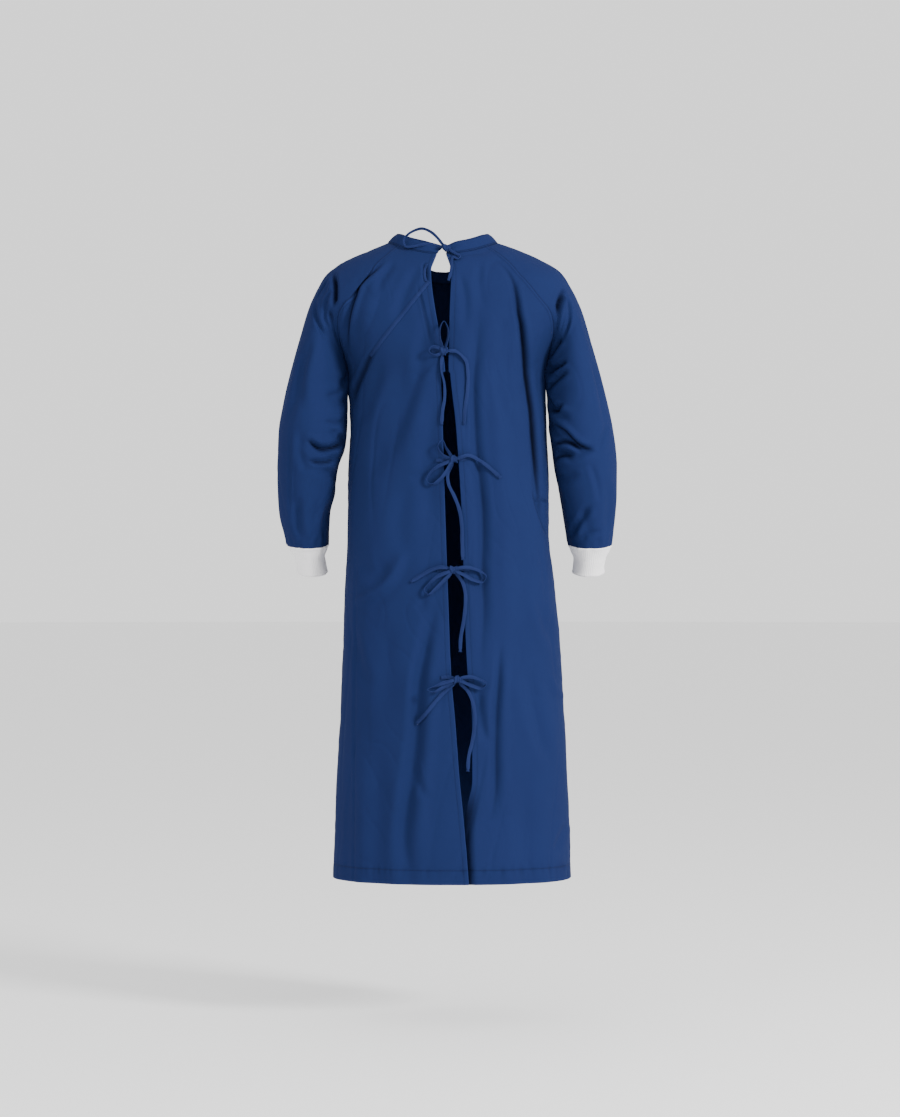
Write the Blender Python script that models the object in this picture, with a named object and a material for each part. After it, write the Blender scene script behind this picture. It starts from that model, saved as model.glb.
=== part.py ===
"""Reusable surgical gown that opens down the back, worn and hollow, with five tied tapes.

Metres, +Z up. The back faces -Y, the wearer's right hand is at +X. The origin is at the base of
the neck, between the shoulders, where the wearer carries the gown.
"""
import math
from collections import namedtuple

import bpy
import numpy as np
from mathutils import Vector

# ---- driving dimensions -------------------------------------------------------------------------
CLOTH = 0.0012              # wall of a single panel
BAND_CLOTH = 0.0020         # wall of the doubled neckband
RIB_CLOTH = 0.0020          # wall of the knitted cuffs
SEAM_GAP = 0.0003           # air between two pieces at a seam
UNDERARM_Z = -0.270
HEM_Z = -1.270
WRIST_Z = -0.604            # seam of sleeve and cuff, at the sleeve's middle
BAND_HEIGHT = 0.026
TAPE_WIDTH = 0.009
TAPE_THICK = 0.0014
TAPE_STEP = 0.0055          # spacing of the rings along a tape
KNOT_SIZE = (0.0170, 0.0110, 0.0140)
BLEND_START = 0.55          # share of the yoke where the sleeves begin to part from the body
PIT_LEAN = -0.35            # downward lean of the cloth at the underarm point
YOKE_ROWS = 8
BODY_ROWS = 20
SLEEVE_ROWS = 12
CUFF_ROWS = 4
BACK_COLUMNS = 14
FRONT_COLUMNS = 8           # for each half of the front
SLEEVE_COLUMNS = 16

NAVY = (0.016, 0.052, 0.176)
WHITE = (0.80, 0.80, 0.78)

# ---- tables: one row for each section, from the neck down ------------------------------------------
# The yoke is one shell over shoulders and upper arms. "down" runs from 0 at the neck seam to 1 at
# the underarm; left and right are its sides over the arms, back and front its depths.
Yoke = namedtuple("Yoke", "down left right side_z back back_z front front_z square")
YOKE = [
    Yoke(0.00, -0.126, 0.096, -0.002, 0.082, -0.030, 0.098, -0.075, 2.00),
    Yoke(0.12, -0.162, 0.137, -0.017, 0.097, -0.047, 0.106, -0.088, 2.10),
    Yoke(0.26, -0.212, 0.188, -0.040, 0.110, -0.074, 0.114, -0.108, 2.20),
    Yoke(0.38, -0.243, 0.222, -0.062, 0.119, -0.101, 0.119, -0.130, 2.30),
    Yoke(0.50, -0.262, 0.241, -0.090, 0.125, -0.130, 0.123, -0.152, 2.40),
    Yoke(0.66, -0.283, 0.262, -0.135, 0.130, -0.170, 0.128, -0.183, 2.45),
    Yoke(0.83, -0.302, 0.283, -0.197, 0.134, -0.220, 0.132, -0.226, 2.50),
    Yoke(1.00, -0.322, 0.302, -0.270, 0.136, -0.270, 0.135, -0.270, 2.50),
]

# Angle of the raglan seams round the yoke, in degrees from the centre back and the centre front.
Raglan = namedtuple("Raglan", "down back front")
RAGLAN = [
    Raglan(0.00, 54, 60),
    Raglan(0.15, 47, 54),
    Raglan(0.35, 41, 48),
    Raglan(0.50, 43, 47),
    Raglan(0.66, 48, 48),
    Raglan(1.00, 52, 50),
]

Body = namedtuple("Body", "z left right back front square")
BODY = [
    Body(-0.130, -0.206, 0.192, 0.127, 0.122, 2.0),
    Body(-0.270, -0.203, 0.190, 0.136, 0.135, 1.9),
    Body(-0.378, -0.199, 0.192, 0.133, 0.140, 2.1),
    Body(-0.490, -0.204, 0.197, 0.130, 0.143, 2.3),
    Body(-0.584, -0.204, 0.198, 0.134, 0.147, 2.4),
    Body(-0.682, -0.209, 0.208, 0.142, 0.150, 2.4),
    Body(-0.816, -0.214, 0.221, 0.150, 0.155, 2.4),
    Body(-0.958, -0.220, 0.230, 0.157, 0.160, 2.3),
    Body(-1.066, -0.225, 0.235, 0.161, 0.163, 2.3),
    Body(-1.174, -0.228, 0.240, 0.165, 0.167, 2.2),
    Body(-1.270, -0.232, 0.243, 0.169, 0.171, 2.2),
]

# How far body and sleeve narrow to a point where they meet at the underarm.
Pinch = namedtuple("Pinch", "z share")
PINCH = [Pinch(-0.130, 0.30), Pinch(-0.240, 0.50), Pinch(-0.290, 0.45), Pinch(-0.380, 0.00), Pinch(-0.500, 0.00)]

# Sleeves: outer edges, air between the sleeve and the body's side, place and half depth along Y.
# "tilt" lowers the back of a ring, because the forearm points a little forward.
Sleeve = namedtuple("Sleeve", "z outer_left outer_right clear_left clear_right middle depth tilt")
SLEEVE = [
    Sleeve(-0.130, -0.282, 0.260, 0.000, 0.000, 0.000, 0.086, 0.00),
    Sleeve(-0.270, -0.322, 0.302, 0.000, 0.000, 0.000, 0.078, 0.00),
    Sleeve(-0.320, -0.333, 0.314, 0.004, 0.004, -0.002, 0.074, 0.00),
    Sleeve(-0.378, -0.343, 0.326, 0.007, 0.007, -0.004, 0.070, 0.00),
    Sleeve(-0.410, -0.345, 0.331, 0.010, 0.010, -0.004, 0.068, 0.01),
    Sleeve(-0.450, -0.346, 0.334, 0.021, 0.013, 0.000, 0.065, 0.05),
    Sleeve(-0.504, -0.345, 0.334, 0.027, 0.022, 0.009, 0.060, 0.12),
    Sleeve(-0.540, -0.343, 0.332, 0.036, 0.028, 0.017, 0.055, 0.18),
    Sleeve(-0.604, -0.329, 0.326, 0.040, 0.039, 0.031, 0.046, 0.21),
]

# Cuff rings below the wrist seam: share of the wrist's width and depth, and shift of the middle.
Cuff = namedtuple("Cuff", "drop width depth shift_left shift_right forward")
CUFF = [
    Cuff(0.000, 1.00, 1.00, 0.000, 0.000, 0.000),
    Cuff(0.010, 0.93, 0.90, 0.001, 0.000, 0.002),
    Cuff(0.026, 0.74, 0.78, 0.004, 0.000, 0.005),
    Cuff(0.042, 0.72, 0.76, 0.007, -0.002, 0.009),
    Cuff(0.057, 0.74, 0.77, 0.009, -0.003, 0.012),
]

# Centre-back edges of the two back panels.
Edge = namedtuple("Edge", "z left right")
EDGE = [
    Edge(-0.030, -0.026, -0.008),
    Edge(-0.070, -0.037, 0.002),
    Edge(-0.168, -0.026, -0.001),
    Edge(-0.240, -0.019, -0.001),
    Edge(-0.380, -0.014, 0.012),
    Edge(-0.554, -0.009, 0.023),
    Edge(-0.750, -0.002, 0.029),
    Edge(-0.854, 0.002, 0.034),
    Edge(-0.948, 0.010, 0.043),
    Edge(-1.066, 0.019, 0.044),
    Edge(-1.174, 0.027, 0.043),
    Edge(-1.270, 0.036, 0.046),
]

# Neckband: how far its top edge leans in, round the neck (degrees from the centre back).
BandTop = namedtuple("BandTop", "angle lean rise")
BAND_TOP = [
    BandTop(0, 0.010, 0.025),
    BandTop(60, 0.014, 0.023),
    BandTop(90, 0.019, 0.018),
    BandTop(130, 0.014, 0.022),
    BandTop(180, 0.010, 0.024),
]
BAND_END = namedtuple("BandEnd", "left right")(-0.017, -0.004)

# Largest folds: a soft trough (or a ridge where the depth is negative) from one end to the other.
# x and z in metres on the body; on a sleeve x is the turn round it, -0.5 at the back.
Fold = namedtuple("Fold", "x_top z_top x_end z_end bow width depth")
FOLDS = {
    "back_right": [
        Fold(0.088, -0.040, 0.148, -0.200, 0.010, 0.009, 0.006),
        Fold(0.146, -0.180, 0.182, -0.480, 0.006, 0.011, 0.006),
        Fold(0.180, -0.470, 0.203, -0.640, -0.004, 0.011, 0.005),
        Fold(0.049, -0.130, 0.066, -0.870, 0.004, 0.016, 0.008),
        Fold(0.098, -0.800, 0.080, -1.150, -0.006, 0.013, 0.006),
    ],
    "back_left": [
        Fold(-0.022, -0.690, -0.078, -1.240, -0.008, 0.016, 0.009),
        Fold(-0.070, -0.260, -0.160, -0.500, 0.006, 0.022, 0.006),
        Fold(-0.084, -0.610, -0.205, -0.716, -0.012, 0.010, -0.005),
    ],
    "front": [
        Fold(0.060, -0.300, 0.110, -1.240, 0.012, 0.020, 0.010),
        Fold(-0.050, -0.420, -0.085, -1.240, -0.010, 0.022, 0.011),
        Fold(-0.120, -0.200, -0.030, -0.520, 0.010, 0.018, 0.006),
    ],
    "sleeve": [
        Fold(-0.90, -0.440, -0.45, -0.400, 0.010, 0.012, 0.005),
        Fold(0.80, -0.400, 0.30, -0.450, -0.010, 0.014, 0.006),
    ],
}

# Tape routes, seen from the back: x, z, distance out from the cloth and twist in degrees, where 0
# lies flat on the back. Each tie is a knot, and stretches that leave it or come back to it.
Spot = namedtuple("Spot", "x z out twist")
KNOTS = {
    "tie_1": Spot(-0.010, -0.014, 0.008, 0),
    "tie_2": Spot(-0.012, -0.227, 0.008, 0),
    "tie_3": Spot(0.007, -0.438, 0.008, 0),
    "tie_4": Spot(0.006, -0.655, 0.008, 0),
    "tie_5": Spot(0.014, -0.869, 0.008, 0),
}
ROUTES = {
    "tie_1_loop_left": [
        Spot(-0.019, -0.006, 0.010, 20), Spot(-0.026, 0.006, 0.012, 35), Spot(-0.041, 0.018, 0.013, 50),
        Spot(-0.055, 0.024, 0.013, 60), Spot(-0.071, 0.020, 0.013, 60), Spot(-0.084, 0.012, 0.013, 65),
        Spot(-0.092, -0.001, 0.012, 70), Spot(-0.086, -0.013, 0.010, 60), Spot(-0.070, -0.015, 0.008, 30),
        Spot(-0.052, -0.013, 0.006, 10), Spot(-0.036, -0.013, 0.006, 0), Spot(-0.021, -0.015, 0.006, 0),
    ],
    "tie_1_tail_right": [
        Spot(-0.001, -0.020, 0.008, 40), Spot(0.012, -0.029, 0.010, 65), Spot(0.024, -0.036, 0.010, 88),
        Spot(0.019, -0.048, 0.009, 88), Spot(0.009, -0.050, 0.006, 60), Spot(0.004, -0.059, 0.005, 20),
        Spot(0.002, -0.071, 0.005, 0), Spot(-0.002, -0.087, 0.006, -10),
    ],
    "tie_2_anchor_left": [Spot(-0.036, -0.228, 0.003, 0), Spot(-0.021, -0.227, 0.006, 0)],
    "tie_2_anchor_right": [Spot(0.012, -0.226, 0.003, 0), Spot(-0.003, -0.226, 0.006, 0)],
    "tie_2_loop_up": [
        Spot(-0.016, -0.216, 0.012, 40), Spot(-0.020, -0.200, 0.014, 60), Spot(-0.019, -0.180, 0.015, 70),
        Spot(-0.012, -0.168, 0.015, 85), Spot(-0.005, -0.180, 0.015, 110), Spot(-0.004, -0.200, 0.014, 120),
        Spot(-0.008, -0.216, 0.012, 140),
    ],
    "tie_2_loop_left": [
        Spot(-0.022, -0.221, 0.012, 10), Spot(-0.034, -0.219, 0.013, 45), Spot(-0.041, -0.226, 0.013, 85),
        Spot(-0.034, -0.234, 0.012, 120), Spot(-0.023, -0.234, 0.011, 150),
    ],
    "tie_2_tail_right": [
        Spot(-0.003, -0.226, 0.012, 10), Spot(0.012, -0.230, 0.010, 10), Spot(0.026, -0.239, 0.008, 15),
        Spot(0.036, -0.256, 0.007, 20), Spot(0.039, -0.276, 0.007, 15), Spot(0.035, -0.308, 0.006, 5),
        Spot(0.029, -0.340, 0.006, -10), Spot(0.028, -0.370, 0.006, -20),
    ],
    "tie_2_tail_down": [
        Spot(-0.015, -0.237, 0.006, 0), Spot(-0.018, -0.262, 0.006, 15), Spot(-0.011, -0.292, 0.007, 40),
        Spot(-0.009, -0.320, 0.007, 25), Spot(-0.015, -0.346, 0.006, 5), Spot(-0.016, -0.372, 0.006, -10),
    ],
    "tie_3_anchor_left": [Spot(-0.028, -0.441, 0.003, 0), Spot(-0.002, -0.439, 0.006, 0)],
    "tie_3_anchor_right": [Spot(0.032, -0.437, 0.003, 0), Spot(0.016, -0.438, 0.006, 0)],
    "tie_3_loop_up": [
        Spot(0.001, -0.430, 0.010, 20), Spot(-0.008, -0.416, 0.012, 60), Spot(-0.015, -0.401, 0.013, 88),
        Spot(-0.024, -0.412, 0.013, 100), Spot(-0.018, -0.427, 0.012, 130), Spot(-0.003, -0.436, 0.011, 160),
    ],
    "tie_3_loop_left": [
        Spot(-0.002, -0.443, 0.013, 10), Spot(-0.024, -0.453, 0.013, 30), Spot(-0.040, -0.467, 0.013, 60),
        Spot(-0.045, -0.482, 0.012, 90), Spot(-0.036, -0.488, 0.012, 120), Spot(-0.021, -0.479, 0.013, 150),
        Spot(-0.008, -0.464, 0.013, 165), Spot(0.001, -0.448, 0.013, 175),
    ],
    "tie_3_tail_right": [
        Spot(0.016, -0.436, 0.013, 0), Spot(0.036, -0.431, 0.013, 15), Spot(0.056, -0.439, 0.012, 30),
        Spot(0.079, -0.456, 0.009, 10), Spot(0.100, -0.475, 0.007, -10),
    ],
    "tie_3_tail_down": [
        Spot(0.004, -0.448, 0.007, 0), Spot(-0.004, -0.466, 0.007, 20), Spot(-0.003, -0.486, 0.007, 30),
        Spot(0.008, -0.510, 0.007, 15), Spot(0.018, -0.536, 0.007, 0), Spot(0.023, -0.566, 0.007, -10),
        Spot(0.024, -0.600, 0.007, 0), Spot(0.025, -0.636, 0.007, 10),
    ],
    "tie_4_anchor_left": [Spot(-0.026, -0.656, 0.003, 0), Spot(-0.003, -0.655, 0.006, 0)],
    "tie_4_anchor_right": [Spot(0.038, -0.654, 0.003, 0), Spot(0.015, -0.655, 0.006, 0)],
    "tie_4_tail_left": [
        Spot(-0.003, -0.652, 0.012, 0), Spot(-0.017, -0.650, 0.012, 5), Spot(-0.035, -0.655, 0.010, 10),
        Spot(-0.057, -0.667, 0.008, 0), Spot(-0.077, -0.679, 0.006, -10),
    ],
    "tie_4_loop_right": [
        Spot(0.015, -0.652, 0.013, 0), Spot(0.038, -0.651, 0.013, 20), Spot(0.057, -0.657, 0.013, 50),
        Spot(0.071, -0.668, 0.013, 90), Spot(0.064, -0.678, 0.012, 130), Spot(0.046, -0.675, 0.012, 150),
        Spot(0.029, -0.666, 0.012, 165), Spot(0.015, -0.659, 0.011, 175),
    ],
    "tie_4_loop_left": [
        Spot(-0.003, -0.659, 0.016, 0), Spot(-0.022, -0.667, 0.015, 15), Spot(-0.038, -0.680, 0.014, 45),
        Spot(-0.050, -0.696, 0.013, 85), Spot(-0.043, -0.704, 0.012, 120), Spot(-0.030, -0.694, 0.012, 150),
        Spot(-0.014, -0.678, 0.012, 165), Spot(0.000, -0.664, 0.012, 175),
    ],
    "tie_4_tail_down": [
        Spot(0.013, -0.663, 0.006, 0), Spot(0.024, -0.678, 0.006, 15), Spot(0.030, -0.700, 0.006, 20),
        Spot(0.030, -0.728, 0.006, 5), Spot(0.026, -0.760, 0.006, -10), Spot(0.021, -0.790, 0.006, 0),
        Spot(0.020, -0.816, 0.006, 10),
    ],
    "tie_5_anchor_left": [Spot(-0.018, -0.866, 0.003, 0), Spot(0.005, -0.866, 0.007, 0)],
    "tie_5_anchor_right": [Spot(0.046, -0.868, 0.003, 0), Spot(0.023, -0.869, 0.006, 0)],
    "tie_5_loop_left": [
        Spot(0.005, -0.871, 0.017, 0), Spot(-0.012, -0.876, 0.017, 10), Spot(-0.030, -0.883, 0.017, 65),
        Spot(-0.044, -0.889, 0.016, 90), Spot(-0.034, -0.894, 0.015, 115), Spot(-0.016, -0.886, 0.013, 165),
        Spot(0.004, -0.875, 0.012, 175),
    ],
    "tie_5_tail_left": [
        Spot(0.008, -0.877, 0.006, 0), Spot(-0.006, -0.890, 0.006, 0), Spot(-0.019, -0.902, 0.007, 5),
        Spot(-0.032, -0.917, 0.008, 10), Spot(-0.048, -0.937, 0.009, 0), Spot(-0.065, -0.956, 0.009, -10),
    ],
    "tie_5_loop_right": [
        Spot(0.023, -0.866, 0.013, 0), Spot(0.038, -0.864, 0.013, 20), Spot(0.055, -0.868, 0.013, 50),
        Spot(0.071, -0.878, 0.013, 90), Spot(0.062, -0.886, 0.012, 135), Spot(0.044, -0.882, 0.012, 160),
        Spot(0.024, -0.873, 0.012, 175),
    ],
    "tie_5_tail_down": [
        Spot(0.021, -0.878, 0.006, 0), Spot(0.035, -0.892, 0.005, 10), Spot(0.044, -0.912, 0.005, 15),
        Spot(0.049, -0.941, 0.005, 5), Spot(0.047, -0.971, 0.005, -5), Spot(0.042, -0.998, 0.006, 10),
        Spot(0.037, -1.018, 0.006, 20), Spot(0.035, -1.049, 0.006, 0),
    ],
}

# Narrow tape stitched slantwise on the left back.
STAY_TAPE = namedtuple("StayTape", "x_top z_top x_end z_end width thick lift rows")(
    -0.047, -0.090, -0.157, -0.235, 0.009, 0.0010, 0.0006, 26)


# ---- shared reading and shaping functions ------------------------------------------------------------
def clear_scene():
    """Take every object out of the open scene."""
    for item in list(bpy.data.objects):
        bpy.data.objects.remove(item, do_unlink=True)


def steady_slopes(keys, values):
    """Slopes for a smooth curve that never swings past its own values."""
    steps = np.diff(values) / np.diff(keys)
    before, after = steps[:-1], steps[1:]
    same_way = before * after > 0
    total = np.where(same_way, before + after, 1.0)
    inner = np.where(same_way, 2 * before * after / total, 0.0)
    return np.concatenate([steps[:1], inner, steps[-1:]])


def read(table, name, place):
    """One column of a table at any place along its first column, on a smooth curve."""
    rows = sorted(table)
    keys = np.array([row[0] for row in rows], float)
    values = np.array([getattr(row, name) for row in rows], float)
    slopes = steady_slopes(keys, values)
    place = np.clip(place, keys[0], keys[-1])
    low = np.clip(np.searchsorted(keys, place) - 1, 0, len(keys) - 2)
    span = keys[low + 1] - keys[low]
    part = (place - keys[low]) / span
    rest = 1 - part
    return ((1 + 2 * part) * rest ** 2 * values[low] + part * rest ** 2 * span * slopes[low]
            + part ** 2 * (3 - 2 * part) * values[low + 1] - part ** 2 * rest * span * slopes[low + 1])


def soft_step(value):
    """0 to 1 with level ends."""
    value = np.clip(value, 0.0, 1.0)
    return value * value * (3 - 2 * value)


def signed_power(value, exponent):
    """A power that keeps the sign."""
    return np.sign(value) * np.abs(value) ** exponent


def oval(side, angle, left, right, back, front, square):
    """x and y round a rounded-square ring; angle is 0 at the centre back and 180 degrees in front."""
    half = (right - left) / 2
    x = (left + right) / 2 + side * half * signed_power(np.sin(angle), 2 / square)
    across = np.cos(angle)
    y = np.where(across > 0, -back, front) * np.abs(across) ** (2 / square)
    return x, y


def yoke_point(side, angle, down):
    """The one shell over shoulders and upper arms."""
    x, y = oval(side, angle, *(read(YOKE, name, down) for name in ("left", "right", "back", "front", "square")))
    across = np.cos(angle)
    end_z = np.where(across > 0, read(YOKE, "back_z", down), read(YOKE, "front_z", down))
    side_z = read(YOKE, "side_z", down)
    return x, y, side_z + (end_z - side_z) * across ** 2


def body_point(side, angle, z):
    """The body's tube at one height."""
    x, y = oval(side, angle, *(read(BODY, name, z) for name in ("left", "right", "back", "front", "square")))
    return x, y * (1 - read(PINCH, "share", z) * np.sin(angle) ** 10)


def sleeve_point(side, turn, z):
    """A sleeve's ring at one height; turn is -1 at the underarm, -0.5 behind, 0 outside, 0.5 in front."""
    word = "right" if side > 0 else "left"
    outer = read(SLEEVE, "outer_" + word, z)
    inner = read(BODY, word, z) + side * read(SLEEVE, "clear_" + word, z)
    middle = read(SLEEVE, "middle", z)
    x = (outer + inner) / 2 + (outer - inner) / 2 * np.cos(math.pi * turn)
    point = 1 - read(PINCH, "share", z) * (0.5 - 0.5 * np.cos(math.pi * turn)) ** 3
    y = middle + read(SLEEVE, "depth", z) * np.sin(math.pi * turn) * point
    return x, y, z + read(SLEEVE, "tilt", z) * (y - middle)


def parting(down):
    """How far the sleeves have parted from the body, 0 in the yoke and 1 at the underarm."""
    return soft_step((down - BLEND_START) / (1 - BLEND_START))


# ---- panels as grids of points ----------------------------------------------------------------------
def edge_angle(side, z):
    """Angle round the body at which a back panel's centre edge lies."""
    word = "right" if side > 0 else "left"
    down = np.interp(-z, [-row.back_z for row in YOKE], [row.down for row in YOKE])
    upper = z > UNDERARM_Z
    left = np.where(upper, read(YOKE, "left", down), read(BODY, "left", z))
    right = np.where(upper, read(YOKE, "right", down), read(BODY, "right", z))
    # above the underarm the yoke and the body tube are mixed, so the mixed half width counts
    share = np.where(upper, parting(down), 1.0)
    half = (1 - share) * (right - left) / 2
    half = half + share * (read(BODY, "right", z) - read(BODY, "left", z)) / 2
    offset = side * (read(EDGE, word, z) - (left + right) / 2) / half
    square = np.where(upper, read(YOKE, "square", down), read(BODY, "square", z))
    return np.arcsin(signed_power(np.clip(offset, -1, 1), square / 2))


def row_places():
    """Share of the yoke and height for each row of a body panel."""
    down = np.linspace(0, 1, YOKE_ROWS + 1)
    heights = np.linspace(UNDERARM_Z, HEM_Z, BODY_ROWS + 1)[1:]
    return down, heights


def half_body_grid(side, columns, in_front):
    """Rows of points from the centre line to the raglan and side seams, on the back or in front."""
    down, heights = row_places()
    across = np.linspace(0, 1, columns + 1)[None, :]
    seam_name = "front" if in_front else "back"
    seam = np.radians(read(RAGLAN, seam_name, down))[:, None]
    end_z = read(YOKE, seam_name + "_z", down)[:, None]
    start = np.zeros_like(end_z) if in_front else edge_angle(side, end_z)
    low_start = np.zeros((len(heights), 1)) if in_front else edge_angle(side, heights[:, None])
    yoke_angle = start + across * (seam - start)
    ring_angle = start + across * (math.pi / 2 - start)
    low_angle = low_start + across * (math.pi / 2 - low_start)
    if in_front:
        yoke_angle, ring_angle, low_angle = (math.pi - a for a in (yoke_angle, ring_angle, low_angle))
    x, y, z = yoke_point(side, yoke_angle, down[:, None])
    ring_x, ring_y = body_point(side, ring_angle, z)
    share = parting(down)[:, None]
    upper = np.stack([x + share * (ring_x - x), y + share * (ring_y - y), z], axis=-1)
    low_z = np.broadcast_to(heights[:, None], low_angle.shape)
    low_x, low_y = body_point(side, low_angle, low_z)
    return np.concatenate([upper, np.stack([low_x, low_y, low_z], axis=-1)])


def sleeve_grid(side):
    """Rows of points round a sleeve, from the neck over the shoulder to the wrist."""
    down = np.linspace(0, 1, YOKE_ROWS + 1)
    turn = np.linspace(-1, 1, SLEEVE_COLUMNS + 1)[None, :]
    back = np.radians(read(RAGLAN, "back", down))[:, None]
    front = np.radians(read(RAGLAN, "front", down))[:, None]
    angle = np.where(turn < 0, math.pi / 2 + turn * (math.pi / 2 - back),
                     math.pi / 2 + turn * (math.pi / 2 - front))
    x, y, z = yoke_point(side, angle, down[:, None])
    ring_x, ring_y, ring_z = sleeve_point(side, turn, z)
    share = parting(down)[:, None]
    upper = np.stack([x + share * (ring_x - x), y + share * (ring_y - y), z], axis=-1)
    heights = np.linspace(UNDERARM_Z, WRIST_Z, SLEEVE_ROWS + 1)[1:, None]
    lower = np.stack(sleeve_point(side, turn, heights + 0 * turn), axis=-1)
    return np.concatenate([upper, lower])


def cuff_grid(side, wrist):
    """Rings of a cuff, worked out from the last ring of its sleeve."""
    word = "right" if side > 0 else "left"
    middle = wrist[:-1].mean(axis=0)
    rings = []
    for drop in np.linspace(0, CUFF[-1].drop, CUFF_ROWS + 1):
        ring = wrist - middle
        ring = ring * [read(CUFF, "width", drop), read(CUFF, "depth", drop), 1.0]
        shift = read(CUFF, "shift_" + word, drop)
        rings.append(middle + ring + [shift, read(CUFF, "forward", drop), -drop])
    return np.array(rings)


def neckband_grid(neck):
    """Lower edge, middle and top of the neckband, from the left back end round to the right one."""
    centre = np.array([(YOKE[0].left + YOKE[0].right) / 2, 0.0])
    flat = neck[:, :2] - centre
    angle = np.degrees(np.arctan2(np.abs(flat[:, 0]), -flat[:, 1]))
    inward = -flat / np.linalg.norm(flat, axis=1)[:, None]
    top = neck.copy()
    top[:, :2] += inward * read(BAND_TOP, "lean", angle)[:, None]
    top[:, 2] += read(BAND_TOP, "rise", angle)
    top[0, 0], top[-1, 0] = BAND_END
    return np.array([neck, neck + (top - neck) * 0.5 + [0, 0, 0.001], top])


# ---- folds ------------------------------------------------------------------------------------------
def fold_depth(x, z, folds, x_scale=1.0):
    """How far the cloth dips at a place, added up over a list of folds."""
    total = np.zeros(np.broadcast(x, z).shape)
    for fold in folds:
        along_x = (fold.x_end - fold.x_top) * x_scale
        along_z = fold.z_end - fold.z_top
        length = math.hypot(along_x, along_z)
        dx = (x - fold.x_top) * x_scale
        dz = z - fold.z_top
        part = (dx * along_x + dz * along_z) / length ** 2
        away = (dx * along_z - dz * along_x) / length - fold.bow * 4 * part * (1 - part)
        ends = soft_step(part / 0.22 + 0.3) * soft_step((1 - part) / 0.22 + 0.3)
        trough = np.exp(-(away / fold.width) ** 2)
        rims = np.exp(-((np.abs(away) - 2.0 * fold.width) / fold.width) ** 2)
        total += fold.depth * ends * (trough - 0.35 * rims)
    return total


# ---- outward directions shared by all the pieces -------------------------------------------------------
def place_key(point):
    """Points closer than a hundredth of a millimetre count as one."""
    return tuple(np.round(point * 1e5).astype(int))


def outward_table(grids):
    """Mean outward direction at every point, each facet that meets there counting the same."""
    table = {}
    for grid in grids:
        a, b = grid[:-1, :-1], grid[:-1, 1:]
        c, d = grid[1:, 1:], grid[1:, :-1]
        facing = np.cross(c - a, b - d)
        facing /= np.maximum(np.linalg.norm(facing, axis=-1, keepdims=True), 1e-12)
        for row, column in np.ndindex(facing.shape[:2]):
            for point in (a, b, c, d):
                key = place_key(point[row, column])
                table[key] = table.get(key, 0) + facing[row, column]
    return {key: value / max(np.linalg.norm(value), 1e-12) for key, value in table.items()}


def outward(grid, table):
    """The shared outward directions of one grid's points."""
    flat = [table[place_key(point)] for point in grid.reshape(-1, 3)]
    return np.array(flat).reshape(grid.shape)


# ---- solids -------------------------------------------------------------------------------------------
def pull_in(grid, directions, top=False, sides=(), bottom=False, side_rows=None):
    """Move the points on a seam half the seam gap into the piece, square to the seam."""
    moved = grid.copy()

    def step(line, inside, outward_line):
        along = np.gradient(line, axis=0)
        square = np.cross(outward_line, along)
        square /= np.maximum(np.linalg.norm(square, axis=-1, keepdims=True), 1e-12)
        square *= np.sign((square * (inside - line)).sum(axis=-1, keepdims=True))
        return square * SEAM_GAP * 0.55

    rows = slice(0, side_rows)
    for side, inside in sides:
        moved[rows, side] += step(grid[rows, side], grid[rows, inside], directions[rows, side])
    if top:
        moved[0] += step(grid[0], grid[1], directions[0])
    if bottom:
        moved[-1] += step(grid[-1], grid[-2], directions[-1])
    return moved


def cloth_solid(name, grid, directions, thickness, colour, closed_from=None):
    """A closed wall: the grid outside, its points moved in by the thickness inside, and rims.

    From row closed_from down, the first and last columns are one, as in a sleeve.
    """
    rows, columns = grid.shape[:2]
    count = rows * columns
    index = np.arange(count).reshape(rows, columns)
    if closed_from is not None:
        index[closed_from:, -1] = index[closed_from:, 0]
    points = np.concatenate([grid.reshape(-1, 3), (grid - directions * thickness).reshape(-1, 3)])
    faces = []
    for r, c in np.ndindex(rows - 1, columns - 1):
        a, b, d, e = index[r, c], index[r + 1, c], index[r + 1, c + 1], index[r, c + 1]
        # both walls are split along the same, shorter diagonal, so that they can't cross
        if np.linalg.norm(points[a] - points[d]) < np.linalg.norm(points[b] - points[e]):
            faces += [(a, b, d), (a, d, e)]
        else:
            faces += [(a, b, e), (b, d, e)]
    edges = {(face[k], face[(k + 1) % 3]) for face in faces for k in range(3)}
    rims = [(b, a, a + count, b + count) for a, b in edges if (b, a) not in edges]
    inner = [tuple(v + count for v in reversed(face)) for face in faces]
    used = sorted({v for face in faces + inner for v in face})
    order = {old: new for new, old in enumerate(used)}
    mesh = bpy.data.meshes.new(name)
    mesh.from_pydata([points[v] for v in used], [], [[order[v] for v in face] for face in faces + inner + rims])
    return add_object(name, mesh, colour)


def add_object(name, mesh, colour):
    """Put a mesh in the scene with a plain material of its own."""
    mesh.validate()
    mesh.shade_smooth()
    mesh.set_sharp_from_angle(angle=math.radians(50))
    item = bpy.data.objects.new(name, mesh)
    bpy.context.scene.collection.objects.link(item)
    finish = bpy.data.materials.new(name + "_finish")
    finish.use_nodes = True
    shader = finish.node_tree.nodes["Principled BSDF"]
    shader.inputs["Base Color"].default_value = (*colour, 1)
    shader.inputs["Roughness"].default_value = 0.8
    mesh.materials.append(finish)
    return item


def turned(grid, side):
    """Grids of the left side run the other way round, so that all of them face outwards."""
    return grid if side > 0 else grid[:, ::-1]


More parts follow.
